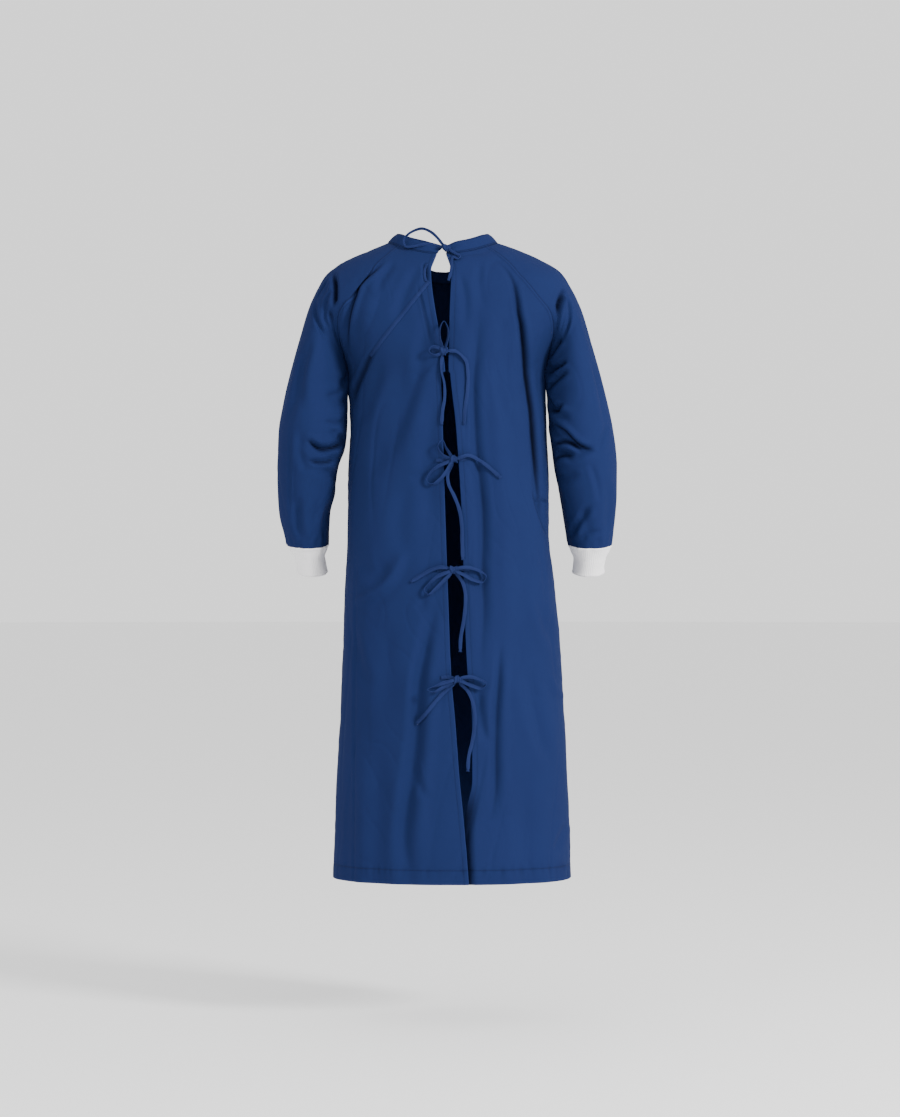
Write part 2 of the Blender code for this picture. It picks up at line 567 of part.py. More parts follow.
def make_cloth():
    """All sewn panels, the cuffs and the neckband."""
    back = {side: half_body_grid(side, BACK_COLUMNS, False) for side in (-1, 1)}
    front_halves = {side: half_body_grid(side, FRONT_COLUMNS, True) for side in (-1, 1)}
    front = np.concatenate([front_halves[1][:, ::-1], front_halves[-1][:, 1:]], axis=1)
    sleeves = {side: sleeve_grid(side) for side in (-1, 1)}

    panels = {
        "back_left_panel": turned(back[-1], -1),
        "back_right_panel": back[1],
        "front_panel": front,
        "sleeve_left": turned(sleeves[-1], -1),
        "sleeve_right": sleeves[1],
    }
    crease(panels)
    neck = np.concatenate([
        panels["back_left_panel"][0, ::-1][:1], panels["back_left_panel"][0, ::-1][2::2],
        panels["sleeve_left"][0, ::-1][2::2], panels["front_panel"][0, ::-1][3:-1:3],
        panels["sleeve_right"][0, ::-1][::2], panels["back_right_panel"][0, ::-1][2::2]])
    panels["neckband"] = neckband_grid(neck)[::-1, ::-1]
    for side, word in ((-1, "left"), (1, "right")):
        wrist = panels["sleeve_" + word][-1]
        panels["cuff_" + word] = cuff_grid(side, wrist)

    table = outward_table(panels.values())
    pit = YOKE_ROWS
    first, last = (0, 1), (-1, -2)
    for name, grid in panels.items():
        directions = outward(grid, table)
        thickness, colour, closed = CLOTH, NAVY, None
        if name.startswith("sleeve"):
            inward = -1 if name == "sleeve_right" else 1
            directions[pit, [0, -1]] = np.array([inward, 0, PIT_LEAN]) / math.hypot(1, PIT_LEAN)
            grid = pull_in(grid, directions, top=True, sides=(first, last), bottom=True, side_rows=pit)
            grid[pit, [0, -1]] += [-inward * SEAM_GAP, 0, -SEAM_GAP]
            closed = pit
        elif name.startswith("cuff"):
            grid = pull_in(grid, directions, top=True)
            thickness, colour, closed = RIB_CLOTH, WHITE, 0
        elif name == "neckband":
            grid = pull_in(grid, directions, bottom=True)
            thickness = BAND_CLOTH
        else:
            seams = {"back_left_panel": (first,), "back_right_panel": (last,), "front_panel": (first, last)}
            for side, _ in seams[name]:
                lean = np.array([np.sign(grid[pit, side, 0]), 0, PIT_LEAN])
                directions[pit, side] = lean / math.hypot(1, PIT_LEAN)
            grid = pull_in(grid, directions, top=True, sides=seams[name])
        cloth_solid(name, grid, directions, thickness, colour, closed)


def crease(panels):
    """Press the largest folds into the panels, along their own outward directions."""
    table = outward_table(panels.values())
    for name, folds in (("back_left_panel", "back_left"), ("back_right_panel", "back_right"),
                        ("front_panel", "front")):
        grid = panels[name]
        depth = fold_depth(grid[..., 0], grid[..., 2], FOLDS[folds])
        away = np.ones(grid.shape[:2])
        away[0] = 0
        if name != "back_right_panel":
            away[:, 0] = 0
        if name != "back_left_panel":
            away[:, -1] = 0
        panels[name] = grid - outward(grid, table) * (depth * away)[..., None]
    for name, side in (("sleeve_left", -1), ("sleeve_right", 1)):
        grid = panels[name]
        turn = np.linspace(-1, 1, grid.shape[1])[None, :] * side
        depth = fold_depth(turn, grid[..., 2], FOLDS["sleeve"], 0.19)
        depth[:YOKE_ROWS + 1] = 0
        depth[:, [0, -1]] = 0
        depth[-1] = 0
        panels[name] = grid - outward(grid, table) * depth[..., None]


def back_surface(x, z):
    """y of the back's outer surface at a place seen from behind, the neckband's above the neck seam."""
    heights = np.array([row.back_z for row in YOKE[:-1]] + [row.z for row in BODY[1:]])
    backs = np.array([row.back for row in YOKE[:-1]] + [row.back for row in BODY[1:]])
    halves = np.array([(row.right - row.left) / 2 for row in YOKE[:-1]] + [0.235]
                      + [(row.right - row.left) / 2 for row in BODY[2:]])
    depth = np.interp(-z, -heights, backs)
    half = np.interp(-z, -heights, halves)
    above = max(0.0, z - YOKE[0].back_z)
    depth -= min(above, BAND_HEIGHT) * 0.4
    share = min(abs(x + 0.008) / half, 0.95)
    folds = FOLDS["back_right"] if x > 0 else FOLDS["back_left"]
    return -depth * (1 - share ** 2.4) ** (1 / 2.4) + float(fold_depth(x, z, folds))


# ---- tapes --------------------------------------------------------------------------------------------
def smooth_route(spots):
    """Evenly spaced points and twists along a smooth curve through the route's own spots."""
    here = np.array([[s.x, back_surface(s.x, s.z) - s.out, s.z, math.radians(s.twist)] for s in spots])
    if len(here) == 2:
        here = np.array([here[0], (here[0] + here[1]) / 2, here[1]])
    gaps = np.linalg.norm(np.diff(here[:, :3], axis=0), axis=1)
    travel = np.concatenate([[0], np.cumsum(gaps)])
    slopes = np.gradient(here, travel, axis=0)
    count = max(2, round(travel[-1] / TAPE_STEP))
    places = np.linspace(0, travel[-1], count + 1)
    low = np.clip(np.searchsorted(travel, places) - 1, 0, len(travel) - 2)
    span = (travel[low + 1] - travel[low])[:, None]
    part = ((places - travel[low]) / span[:, 0])[:, None]
    rest = 1 - part
    return ((1 + 2 * part) * rest ** 2 * here[low] + part * rest ** 2 * span * slopes[low]
            + part ** 2 * (3 - 2 * part) * here[low + 1] - part ** 2 * rest * span * slopes[low + 1])


def tape_rings(route, width, thick):
    """Four corners at each place along a tape."""
    centres, twists = route[:, :3], route[:, 3]
    tangents = np.gradient(centres, axis=0)
    rings = []
    for centre, tangent, twist in zip(centres, tangents, twists):
        ahead = Vector(tangent).normalized()
        out = Vector((0, -1, 0))
        flat = ahead.cross(out).normalized()
        if not rings:
            self_flip = flat
        if flat.dot(self_flip) < 0:
            flat = -flat
        self_flip = flat
        normal = flat.cross(ahead).normalized()
        wide = flat * math.cos(twist) + normal * math.sin(twist)
        deep = wide.cross(ahead).normalized()
        rings.append([Vector(centre) + wide * (width / 2 * a) + deep * (thick / 2 * b)
                      for a, b in ((-1, -1), (1, -1), (1, 1), (-1, 1))])
    return rings


def make_tape(name, spots):
    """One stretch of tape as a closed flat bar along its route."""
    rings = tape_rings(smooth_route(spots), TAPE_WIDTH, TAPE_THICK)
    points = [corner for ring in rings for corner in ring]
    faces = [(0, 1, 2, 3), tuple(len(points) - 4 + k for k in (3, 2, 1, 0))]
    for ring in range(len(rings) - 1):
        for k in range(4):
            a, b = ring * 4 + k, ring * 4 + (k + 1) % 4
            faces.append((a, a + 4, b + 4, b))
    mesh = bpy.data.meshes.new(name)
    mesh.from_pydata(points, [], faces)
    add_object(name, mesh, NAVY)


def make_knot(name, spot):
    """A small rounded lump where the tapes are tied."""
    centre = np.array([spot.x, back_surface(spot.x, spot.z) - spot.out, spot.z])
    rounds, levels = 10, 5
    points = [centre + [0, 0, KNOT_SIZE[2] / 2]]
    for level in range(1, levels):
        lift = math.pi * level / levels
        for k in range(rounds):
            angle = 2 * math.pi * k / rounds
            points.append(centre + np.array([math.sin(lift) * math.cos(angle), math.sin(lift) * math.sin(angle),
                                             math.cos(lift)]) * np.array(KNOT_SIZE) / 2)
    points.append(centre - [0, 0, KNOT_SIZE[2] / 2])
    last = len(points) - 1
    faces = [(0, 1 + k, 1 + (k + 1) % rounds) for k in range(rounds)]
    for level in range(levels - 2):
        low = 1 + level * rounds
        faces += [(low + k, low + k + rounds, low + (k + 1) % rounds + rounds, low + (k + 1) % rounds)
                  for k in range(rounds)]
    low = last - rounds
    faces += [(last, low + (k + 1) % rounds, low + k) for k in range(rounds)]
    mesh = bpy.data.meshes.new(name)
    mesh.from_pydata(points, [], faces)
    add_object(name + "_knot", mesh, NAVY)


def make_stay_tape():
    """The slanting tape on the left back: points of the back's surface, moved out."""
    tape = STAY_TAPE
    run = np.array([tape.x_end - tape.x_top, tape.z_end - tape.z_top])
    across = np.array([-run[1], run[0]]) / np.hypot(*run)
    panel = bpy.data.objects["back_left_panel"]
    grid = np.zeros((tape.rows + 1, 3, 3))
    for row in range(tape.rows + 1):
        for column in range(3):
            x, z = np.array([tape.x_top, tape.z_top]) + run * row / tape.rows \
                + across * tape.width * (column / 2 - 0.5)
            hit, place, _, _ = panel.ray_cast(Vector((x, -1, z)), Vector((0, 1, 0)))
            grid[row, column] = place if hit else (x, back_surface(x, z), z)
    table = outward_table([grid])
    directions = outward(grid, table)
    sign = -np.sign(directions[..., 1].mean())
    directions = directions * sign
    grid = grid + directions * (tape.lift + tape.thick)
    grid = grid if sign > 0 else grid[:, ::-1]
    directions = directions if sign > 0 else directions[:, ::-1]
    cloth_solid("stay_tape_left", grid, directions, tape.thick, NAVY)


def main():
    clear_scene()
    make_cloth()
    make_stay_tape()
    for name, spot in KNOTS.items():
        make_knot(name, spot)
    for name, spots in ROUTES.items():
        make_tape(name, spots)


main()
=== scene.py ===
"""A reusable surgical gown that opens down the back, worn and hollow, with tied cloth tapes."""
import math
from collections import namedtuple

import bmesh
import bpy
import numpy as np
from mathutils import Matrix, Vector
from mathutils.bvhtree import BVHTree


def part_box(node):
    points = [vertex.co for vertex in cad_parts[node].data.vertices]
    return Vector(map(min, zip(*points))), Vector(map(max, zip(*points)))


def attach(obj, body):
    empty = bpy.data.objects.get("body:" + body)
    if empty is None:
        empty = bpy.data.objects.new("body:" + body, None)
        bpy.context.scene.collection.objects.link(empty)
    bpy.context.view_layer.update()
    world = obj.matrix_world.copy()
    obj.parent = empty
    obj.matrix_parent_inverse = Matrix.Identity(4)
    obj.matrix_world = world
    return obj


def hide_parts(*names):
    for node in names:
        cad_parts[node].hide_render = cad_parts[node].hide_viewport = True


bl_info = {
    "name": "Surgical Gown",
    "version": (1, 0, 0),
    "blender": (4, 5, 0),
    "location": "View3D > Sidebar > Gown",
    "description": "A reusable surgical gown with tied tapes and knitted cuffs",
    "category": "Object",
}

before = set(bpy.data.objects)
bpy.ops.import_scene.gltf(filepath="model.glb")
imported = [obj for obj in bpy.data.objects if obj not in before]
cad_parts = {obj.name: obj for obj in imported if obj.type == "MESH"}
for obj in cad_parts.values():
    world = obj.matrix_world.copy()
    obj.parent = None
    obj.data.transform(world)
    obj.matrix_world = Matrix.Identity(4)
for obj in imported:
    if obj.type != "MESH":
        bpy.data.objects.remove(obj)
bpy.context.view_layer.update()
BODY_NAME = "root"
MM = 0.001
SIDES = {-1: "left", 1: "right"}            # which way x runs on each side
UV_NAME = "Cloth"

# ---- the gown's form: one row for each section, from the neck down -------------------------------
UNDERARM_Z = -0.270
HEM_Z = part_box("front_panel")[0].z
WRIST_Z = -0.604
BLEND_START = 0.55          # share of the yoke where the sleeves begin to part from the body
Yoke = namedtuple("Yoke", "down left right side_z back back_z front front_z square")
YOKE = [
    Yoke(0.00, -0.126, 0.096, -0.002, 0.082, -0.030, 0.098, -0.075, 2.00),
    Yoke(0.12, -0.162, 0.137, -0.017, 0.097, -0.047, 0.106, -0.088, 2.10),
    Yoke(0.26, -0.212, 0.188, -0.040, 0.110, -0.074, 0.114, -0.108, 2.20),
    Yoke(0.38, -0.243, 0.222, -0.062, 0.119, -0.101, 0.119, -0.130, 2.30),
    Yoke(0.50, -0.262, 0.241, -0.090, 0.125, -0.130, 0.123, -0.152, 2.40),
    Yoke(0.66, -0.283, 0.262, -0.135, 0.130, -0.170, 0.128, -0.183, 2.45),
    Yoke(0.83, -0.302, 0.283, -0.197, 0.134, -0.220, 0.132, -0.226, 2.50),
    Yoke(1.00, -0.322, 0.302, -0.270, 0.136, -0.270, 0.135, -0.270, 2.50),
]
Raglan = namedtuple("Raglan", "down back front")
RAGLAN = [
    Raglan(0.00, 54, 60),
    Raglan(0.15, 47, 54),
    Raglan(0.35, 41, 48),
    Raglan(0.50, 43, 47),
    Raglan(0.66, 48, 48),
    Raglan(1.00, 52, 50),
]
Body = namedtuple("Body", "z left right back front square")
BODY = [
    Body(-0.130, -0.206, 0.192, 0.127, 0.122, 2.0),
    Body(-0.270, -0.203, 0.190, 0.136, 0.135, 1.9),
    Body(-0.378, -0.199, 0.192, 0.133, 0.140, 2.1),
    Body(-0.490, -0.204, 0.197, 0.130, 0.143, 2.3),
    Body(-0.584, -0.204, 0.198, 0.134, 0.147, 2.4),
    Body(-0.682, -0.209, 0.208, 0.142, 0.150, 2.4),
    Body(-0.816, -0.214, 0.221, 0.150, 0.155, 2.4),
    Body(-0.958, -0.220, 0.230, 0.157, 0.160, 2.3),
    Body(-1.066, -0.225, 0.235, 0.161, 0.163, 2.3),
    Body(-1.174, -0.228, 0.240, 0.165, 0.167, 2.2),
    Body(-1.270, -0.232, 0.243, 0.169, 0.171, 2.2),
]
Pinch = namedtuple("Pinch", "z share")
PINCH = [
    Pinch(-0.130, 0.30), Pinch(-0.240, 0.50), Pinch(-0.290, 0.45), Pinch(-0.380, 0.00), Pinch(-0.500, 0.00),
]
Sleeve = namedtuple("Sleeve", "z outer_left outer_right clear_left clear_right middle depth tilt")
SLEEVE = [
    Sleeve(-0.130, -0.282, 0.260, 0.000, 0.000, 0.000, 0.086, 0.00),
    Sleeve(-0.270, -0.322, 0.302, 0.000, 0.000, 0.000, 0.078, 0.00),
    Sleeve(-0.320, -0.333, 0.314, 0.004, 0.004, -0.002, 0.074, 0.00),
    Sleeve(-0.378, -0.343, 0.326, 0.007, 0.007, -0.004, 0.070, 0.00),
    Sleeve(-0.410, -0.345, 0.331, 0.010, 0.010, -0.004, 0.068, 0.01),
    Sleeve(-0.450, -0.346, 0.334, 0.021, 0.013, 0.000, 0.065, 0.05),
    Sleeve(-0.504, -0.345, 0.334, 0.027, 0.022, 0.009, 0.060, 0.12),
    Sleeve(-0.540, -0.343, 0.332, 0.036, 0.028, 0.017, 0.055, 0.18),
    Sleeve(-0.604, -0.329, 0.326, 0.040, 0.039, 0.031, 0.046, 0.21),
]
Cuff = namedtuple("Cuff", "drop width depth shift_left shift_right forward")
CUFF = [
    Cuff(0.000, 1.00, 1.00, 0.000, 0.000, 0.000),
    Cuff(0.010, 0.93, 0.90, 0.001, 0.000, 0.002),
    Cuff(0.026, 0.74, 0.78, 0.004, 0.000, 0.005),
    Cuff(0.042, 0.72, 0.76, 0.007, -0.002, 0.009),
    Cuff(0.057, 0.74, 0.77, 0.009, -0.003, 0.012),
]
Edge = namedtuple("Edge", "z left right")
EDGE = [
    Edge(-0.030, -0.026, -0.008),
    Edge(-0.070, -0.037, 0.002),
    Edge(-0.168, -0.026, -0.001),
    Edge(-0.240, -0.019, -0.001),
    Edge(-0.380, -0.014, 0.012),
    Edge(-0.554, -0.009, 0.023),
    Edge(-0.750, -0.002, 0.029),
    Edge(-0.854, 0.002, 0.034),
    Edge(-0.948, 0.010, 0.043),
    Edge(-1.066, 0.019, 0.0435),
    Edge(-1.120, 0.0245, 0.0340),
    Edge(-1.174, 0.0295, 0.0275),
    Edge(-1.235, 0.0345, 0.0290),
    Edge(-1.270, 0.0370, 0.0300),
]
# Near the hem the right panel's edge rolls in and passes under the left one, with painted shade on it.
HEM_LAP = namedtuple("HemLap", "depth reach top fade dark")(8.0 * MM, 0.023, -1.066, 0.080, 0.80)
BandTop = namedtuple("BandTop", "angle lean rise")
BAND_TOP = [
    BandTop(0, 0.010, 0.025),
    BandTop(60, 0.014, 0.023),
    BandTop(90, 0.019, 0.018),
    BandTop(130, 0.014, 0.022),
    BandTop(180, 0.010, 0.024),
]
BAND_END = namedtuple("BandEnd", "left right")(-0.011, -0.004)
BAND_HEIGHT = 0.026

# ---- creases: soft troughs, or ridges where the depth is negative ---------------------------------
# Each runs along a smooth line through its own points, in millimetres. "wide" is its half width at the
# start and at the end; "skew" raises one bank and steepens the other, "sharp" narrows its bottom and
# the last number is painted shade: how much its bottom is painted darker for the light lost in it.
Crease = namedtuple("Crease", "line wide depth skew sharp dark", defaults=(0.0, 0.0, 0.0))
BACK_CREASES = [
    # right back, from the neckband out over the shoulder blade and down the side
    Crease([(85, -36), (110, -60), (125, -85), (133, -120), (137, -150), (143, -175), (147, -200), (153, -240),
            (160, -290), (167, -340), (170, -390), (173, -440), (178, -510), (186, -580)], (5.0, 6.0), 4.2,
            -0.9, 0.8, 1.0),
    Crease([(90, -30), (126, -80), (139, -150), (157, -250), (170, -370), (180, -500), (204, -640)], (13, 16),
            2.2, -0.5, 0.2),
    Crease([(62, -120), (56, -220), (51, -290), (52, -360), (57, -440), (66, -520), (68, -600), (66, -660),
            (69, -740), (65, -800), (68, -890)], (7, 9), 3.2, -0.6, 0.4, 0.3),
    Crease([(55, -90), (54, -264), (58, -411), (70, -636), (70, -880)], (18, 22), 4.6, 0.3),
    Crease([(60, -870), (63, -950), (80, -1010)], (7, 9), 3.0, -0.3),
    Crease([(102, -780), (98, -870), (94, -930), (92, -1000), (91, -1090), (79, -1160)], (6, 10), 4.0, -0.6,
            0.5, 0.35),
    Crease([(120, -90), (105, -240), (112, -380)], (12, 20), 1.8),
    Crease([(170, -700), (186, -760), (207, -812)], (8, 10), 2.6, 0.4, 0.2),
    Crease([(196, -860), (207, -885), (222, -915)], (6, 8), -2.0),
    Crease([(150, -840), (172, -960), (186, -1010), (206, -1045)], (14, 10), 3.0, 0.3),
    Crease([(236, -1150), (222, -1175), (203, -1215)], (6, 7), 2.2, 0.5, 0.4),
    Crease([(126, -560), (137, -720), (133, -900)], (22, 26), 2.6),
    Crease([(150, -1020), (146, -1140), (150, -1270)], (18, 22), 3.0),
    Crease([(30, -260), (27, -345), (34, -420)], (6, 6), 1.2),
    Crease([(110, -300), (130, -400), (128, -520)], (14, 18), 1.6),
    Crease([(16, -60), (28, -110), (30, -190)], (6, 9), 1.4),
    Crease([(60, -40), (58, -90), (66, -150)], (7, 10), 1.5),
    # left back
    Crease([(-70, -235), (-94, -320), (-130, -410), (-165, -490)], (20, 26), 4.2, -0.2),
    Crease([(-205, -722), (-178, -716), (-140, -697), (-108, -659), (-84, -610)], (8, 11), -3.6, 0.35),
    Crease([(-185, -640), (-150, -662), (-118, -640)], (16, 18), 2.6),
    Crease([(-16, -690), (-36, -760), (-56, -870), (-63, -990), (-76, -1090), (-86, -1185), (-78, -1262)],
            (10, 15), 6.5, -0.5, 0.25),
    Crease([(-70, -1030), (-62, -1070), (-46, -1110)], (6, 9), 2.0, 0.4),
    Crease([(-192, -760), (-180, -830), (-160, -895)], (8, 12), 2.4, -0.3),
    Crease([(-120, -740), (-124, -860), (-118, -960)], (16, 20), 1.8),
    Crease([(-150, -960), (-142, -1100), (-148, -1270)], (20, 24), 3.2),
    Crease([(-190, -1000), (-197, -1120), (-200, -1270)], (12, 14), 2.4),
    Crease([(-62, -52), (-88, -110), (-110, -180)], (8, 12), 2.0),
    Crease([(-106, -44), (-134, -78), (-146, -115)], (7, 9), 1.9, 0.3),
    Crease([(-52, -46), (-47, -68), (-47, -92)], (4, 5), 2.6, -0.4, 0.3),
    Crease([(-30, -300), (-40, -440), (-34, -600)], (14, 18), 2.2),
    Crease([(-134, -240), (-160, -320), (-186, -380)], (9, 12), 1.8, 0.3),
    Crease([(-30, -120), (-50, -200), (-60, -280)], (10, 14), 1.6),
    Crease([(-80, -480), (-98, -560), (-94, -640)], (16, 18), 1.6),
    Crease([(-67, -84), (-61, -108), (-44, -182), (-36, -226)], (2.5, 3), 1.3, 0.6, 0.7, 0.3),
    # crisp folds along the raglan seams and down the sides
    Crease([(-124, -40), (-140, -58), (-157, -72), (-177, -90), (-188, -115), (-197, -145), (-204, -185),
            (-202, -230)], (4, 6), 4.2, -0.8, 0.8, 0.8),
    Crease([(-150, -60), (-186, -150), (-184, -230)], (12, 14), 2.2, -0.3),
    Crease([(-136, -204), (-151, -222), (-172, -259), (-190, -296), (-198, -334)], (4, 6), 3.8, 0.8, 0.8, 0.7),
    Crease([(-186, -500), (-189, -800), (-192, -1262)], (2.2, 2.4), 1.0, 0.7, 0.5),
    Crease([(162, -495), (176, -540), (196, -592)], (4, 5), 2.4, 0.7, 0.7, 0.4),
    Crease([(166, -520), (182, -517), (200, -520)], (3, 4), 1.6, 0.5, 0.7, 0.3),
    Crease([(83, -240), (103, -325), (121, -395)], (6, 9), 1.5, 0.5, 0.4),
    Crease([(-52, -190), (-64, -270), (-98, -370), (-130, -460)], (9, 14), 2.0, 0.4, 0.2),
    # small pulls beside the knots
    Crease([(-24, -236), (-50, -262), (-78, -284)], (4, 9), 1.3, 0.2),
    Crease([(-28, -446), (-56, -470), (-82, -478)], (4, 9), 1.2),
    Crease([(34, -444), (50, -484), (54, -530)], (4, 8), 1.1),
    Crease([(-24, -662), (-50, -700), (-60, -745)], (4, 9), 1.3),
    Crease([(40, -662), (50, -700), (52, -750)], (4, 8), 1.0),
    Crease([(48, -874), (56, -910), (54, -950)], (4, 7), 1.0),
]
FRONT_CREASES = [
    Crease([(60, -260), (78, -520), (92, -860), (104, -1268)], (12, 20), 7.5, 0.6, 0.4, 0.05),
    Crease([(-52, -330), (-64, -620), (-78, -930), (-82, -1268)], (12, 22), 8.0, -0.6, 0.4, 0.05),
    Crease([(-150, -170), (-104, -310), (-50, -450)], (8, 14), 4.4, 0.5, 0.4, 0.10),
    Crease([(144, -180), (110, -290), (74, -400)], (8, 14), 4.0, -0.5, 0.4, 0.10),
    Crease([(10, -560), (4, -840), (14, -1268)], (18, 26), 5.0, 0.3),
    Crease([(160, -560), (174, -820), (180, -1268)], (12, 18), 5.2, 0.5, 0.08),
    Crease([(-156, -520), (-168, -840), (-166, -1268)], (13, 19), 5.4, -0.4, 0.3),
    Crease([(-30, -110), (-10, -180), (24, -240)], (10, 14), 2.0),
    Crease([(70, -100), (50, -170), (48, -250)], (8, 12), 2.2, 0.4, 0.10),
    Crease([(-120, -650), (-60, -690), (-10, -680)], (7, 11), 2.2, 0.5, 0.4),
    Crease([(130, -900), (118, -1020), (126, -1140)], (7, 10), 3.0, 0.5, 0.5, 0.08),
    Crease([(-108, -820), (-126, -960), (-122, -1100)], (7, 10), 3.2, -0.5, 0.5, 0.08),
    Crease([(190, -290), (162, -330), (120, -352)], (4, 8), 2.6, 0.6, 0.6, 0.15),
    Crease([(-198, -300), (-168, -346), (-118, -380)], (4, 8), 2.8, -0.6, 0.6, 0.15),
]
# On the backs of the sleeves, with x and z as on the body: armhole, underarm, elbow and wrist.
ARM_CREASES = [
    Crease([(227, -90), (214, -144), (197, -200)], (4, 6), 6.6, -0.8, 0.8, 1.0),
    Crease([(256, -130), (281, -212), (300, -262)], (4, 5), 1.6, 0.6, 0.7),
    Crease([(190, -244), (206, -221), (224, -194)], (3.5, 5), 4.9, 0.7, 0.8, 1.0),
    Crease([(188, -262), (210, -255), (234, -240)], (3.5, 5), 4.9, 0.7, 0.8, 1.0),
    Crease([(186, -304), (210, -281), (238, -258)], (4, 6), 3.5, 0.6, 0.7, 0.7),
    Crease([(188, -318), (204, -339), (229, -324)], (4, 5), 4.6, 0.6, 0.8, 1.0),
    Crease([(194, -358), (222, -376), (258, -410), (294, -421)], (4, 6), 4.6, -0.7, 0.8, 1.0),
    Crease([(200, -408), (228, -402), (264, -422)], (4, 6), 4.9, 0.7, 0.8, 1.0),
    Crease([(200, -446), (221, -429), (246, -437)], (4, 6), 3.8, 0.6, 0.8, 0.7),
    Crease([(290, -424), (307, -391), (318, -358)], (5, 5), 1.9, 0.5, 0.6),
    Crease([(276, -440), (292, -489), (299, -530)], (5, 6), 1.6, 0.5, 0.5),
    Crease([(238, -596), (262, -556), (286, -526)], (5, 7), 3.5, 0.7, 0.6),
    Crease([(250, -602), (281, -586), (308, -578)], (4, 5), 2.0, 0.5, 0.6),
    Crease([(-233, -60), (-229, -100), (-230, -142)], (4, 5), 5.2, 0.7, 0.8, 1.0),
    Crease([(-244, -136), (-224, -178), (-205, -222)], (4, 6), 5.5, 0.7, 0.8, 1.0),
    Crease([(-269, -185), (-291, -264), (-296, -345)], (7, 9), 2.6, -0.5, 0.4),
    Crease([(-290, -392), (-254, -418), (-217, -407), (-204, -382)], (4, 6), 5.5, 0.8, 0.8, 1.0),
    Crease([(-272, -396), (-243, -400), (-207, -374)], (4, 5), -1.7, 0.4, 0.5),
    Crease([(-286, -436), (-254, -444), (-222, -432)], (4, 6), 3.1, 0.6, 0.7, 0.7),
    Crease([(-295, -372), (-299, -421), (-283, -470)], (7, 8), 2.2, 0.4, 0.4),
    Crease([(-202, -348), (-222, -362), (-252, -358)], (5, 7), 1.8, 0.5, 0.5, 0.2),
    Crease([(-204, -280), (-222, -300), (-252, -312)], (5, 8), 1.8, 0.5, 0.5, 0.2),
    Crease([(-317, -352), (-319.5, -450), (-322, -570)], (2.2, 2.2), 0.9, 0.6, 0.4),
    Crease([(-242, -522), (-254, -570), (-250, -602)], (5, 7), 2.3, 0.6, 0.6),
    Crease([(-300, -500), (-306, -560), (-300, -602)], (6, 8), 2.0, 0.5, 0.4),
]
# On a sleeve's own list the first number is the turn round it: -1 at the underarm, -0.5 at the back, 0 on
# the outside and 0.5 in front. The second is the height in millimetres.
SLEEVE_TURN_SIZE = 0.19
RIGHT_SLEEVE_CREASES = [
    Crease([(-0.52, -95), (-0.62, -150), (-0.76, -200)], (7, 6), 3.4, 0.4, 0.4),
    Crease([(-0.98, -235), (-0.86, -256), (-0.70, -262)], (8, 10), 4.6, 0.3, 0.2),
    Crease([(-1.02, -300), (-0.80, -334), (-0.58, -362)], (7, 9), 3.6, -0.4, 0.3),
    Crease([(-1.02, -352), (-0.80, -388), (-0.62, -400)], (6, 8), 2.6, 0.4, 0.3),
    Crease([(-0.94, -420), (-0.66, -428), (-0.36, -410)], (8, 9), 4.0, 0.5, 0.3),
    Crease([(-0.98, -462), (-0.76, -474), (-0.56, -462)], (8, 9), 2.4),
    Crease([(-0.24, -225), (-0.22, -300), (-0.24, -384)], (7, 9), 2.0, 0.5, 0.3),
    Crease([(-0.60, -530), (-0.56, -562), (-0.55, -598)], (10, 13), 1.4, 0.3),
    Crease([(-0.30, -470), (-0.24, -530), (-0.26, -590)], (12, 12), 1.8),
    Crease([(0.86, -300), (0.66, -350), (0.50, -400)], (8, 12), 3.4, 0.3),
    Crease([(0.98, -400), (0.66, -430), (0.36, -424)], (9, 11), 4.0, 0.4),
    Crease([(0.92, -450), (0.62, -486), (0.30, -500)], (9, 12), 2.8),
    Crease([(0.30, -120), (0.44, -190), (0.64, -230)], (9, 9), 2.8, 0.3),
    Crease([(0.20, -250), (0.16, -340), (0.20, -400)], (10, 12), 1.8),
    Crease([(0.50, -520), (0.44, -560), (0.46, -600)], (10, 12), 2.8),
    Crease([(-0.10, -20), (-0.18, -60), (-0.34, -85)], (7, 9), 1.6),
]
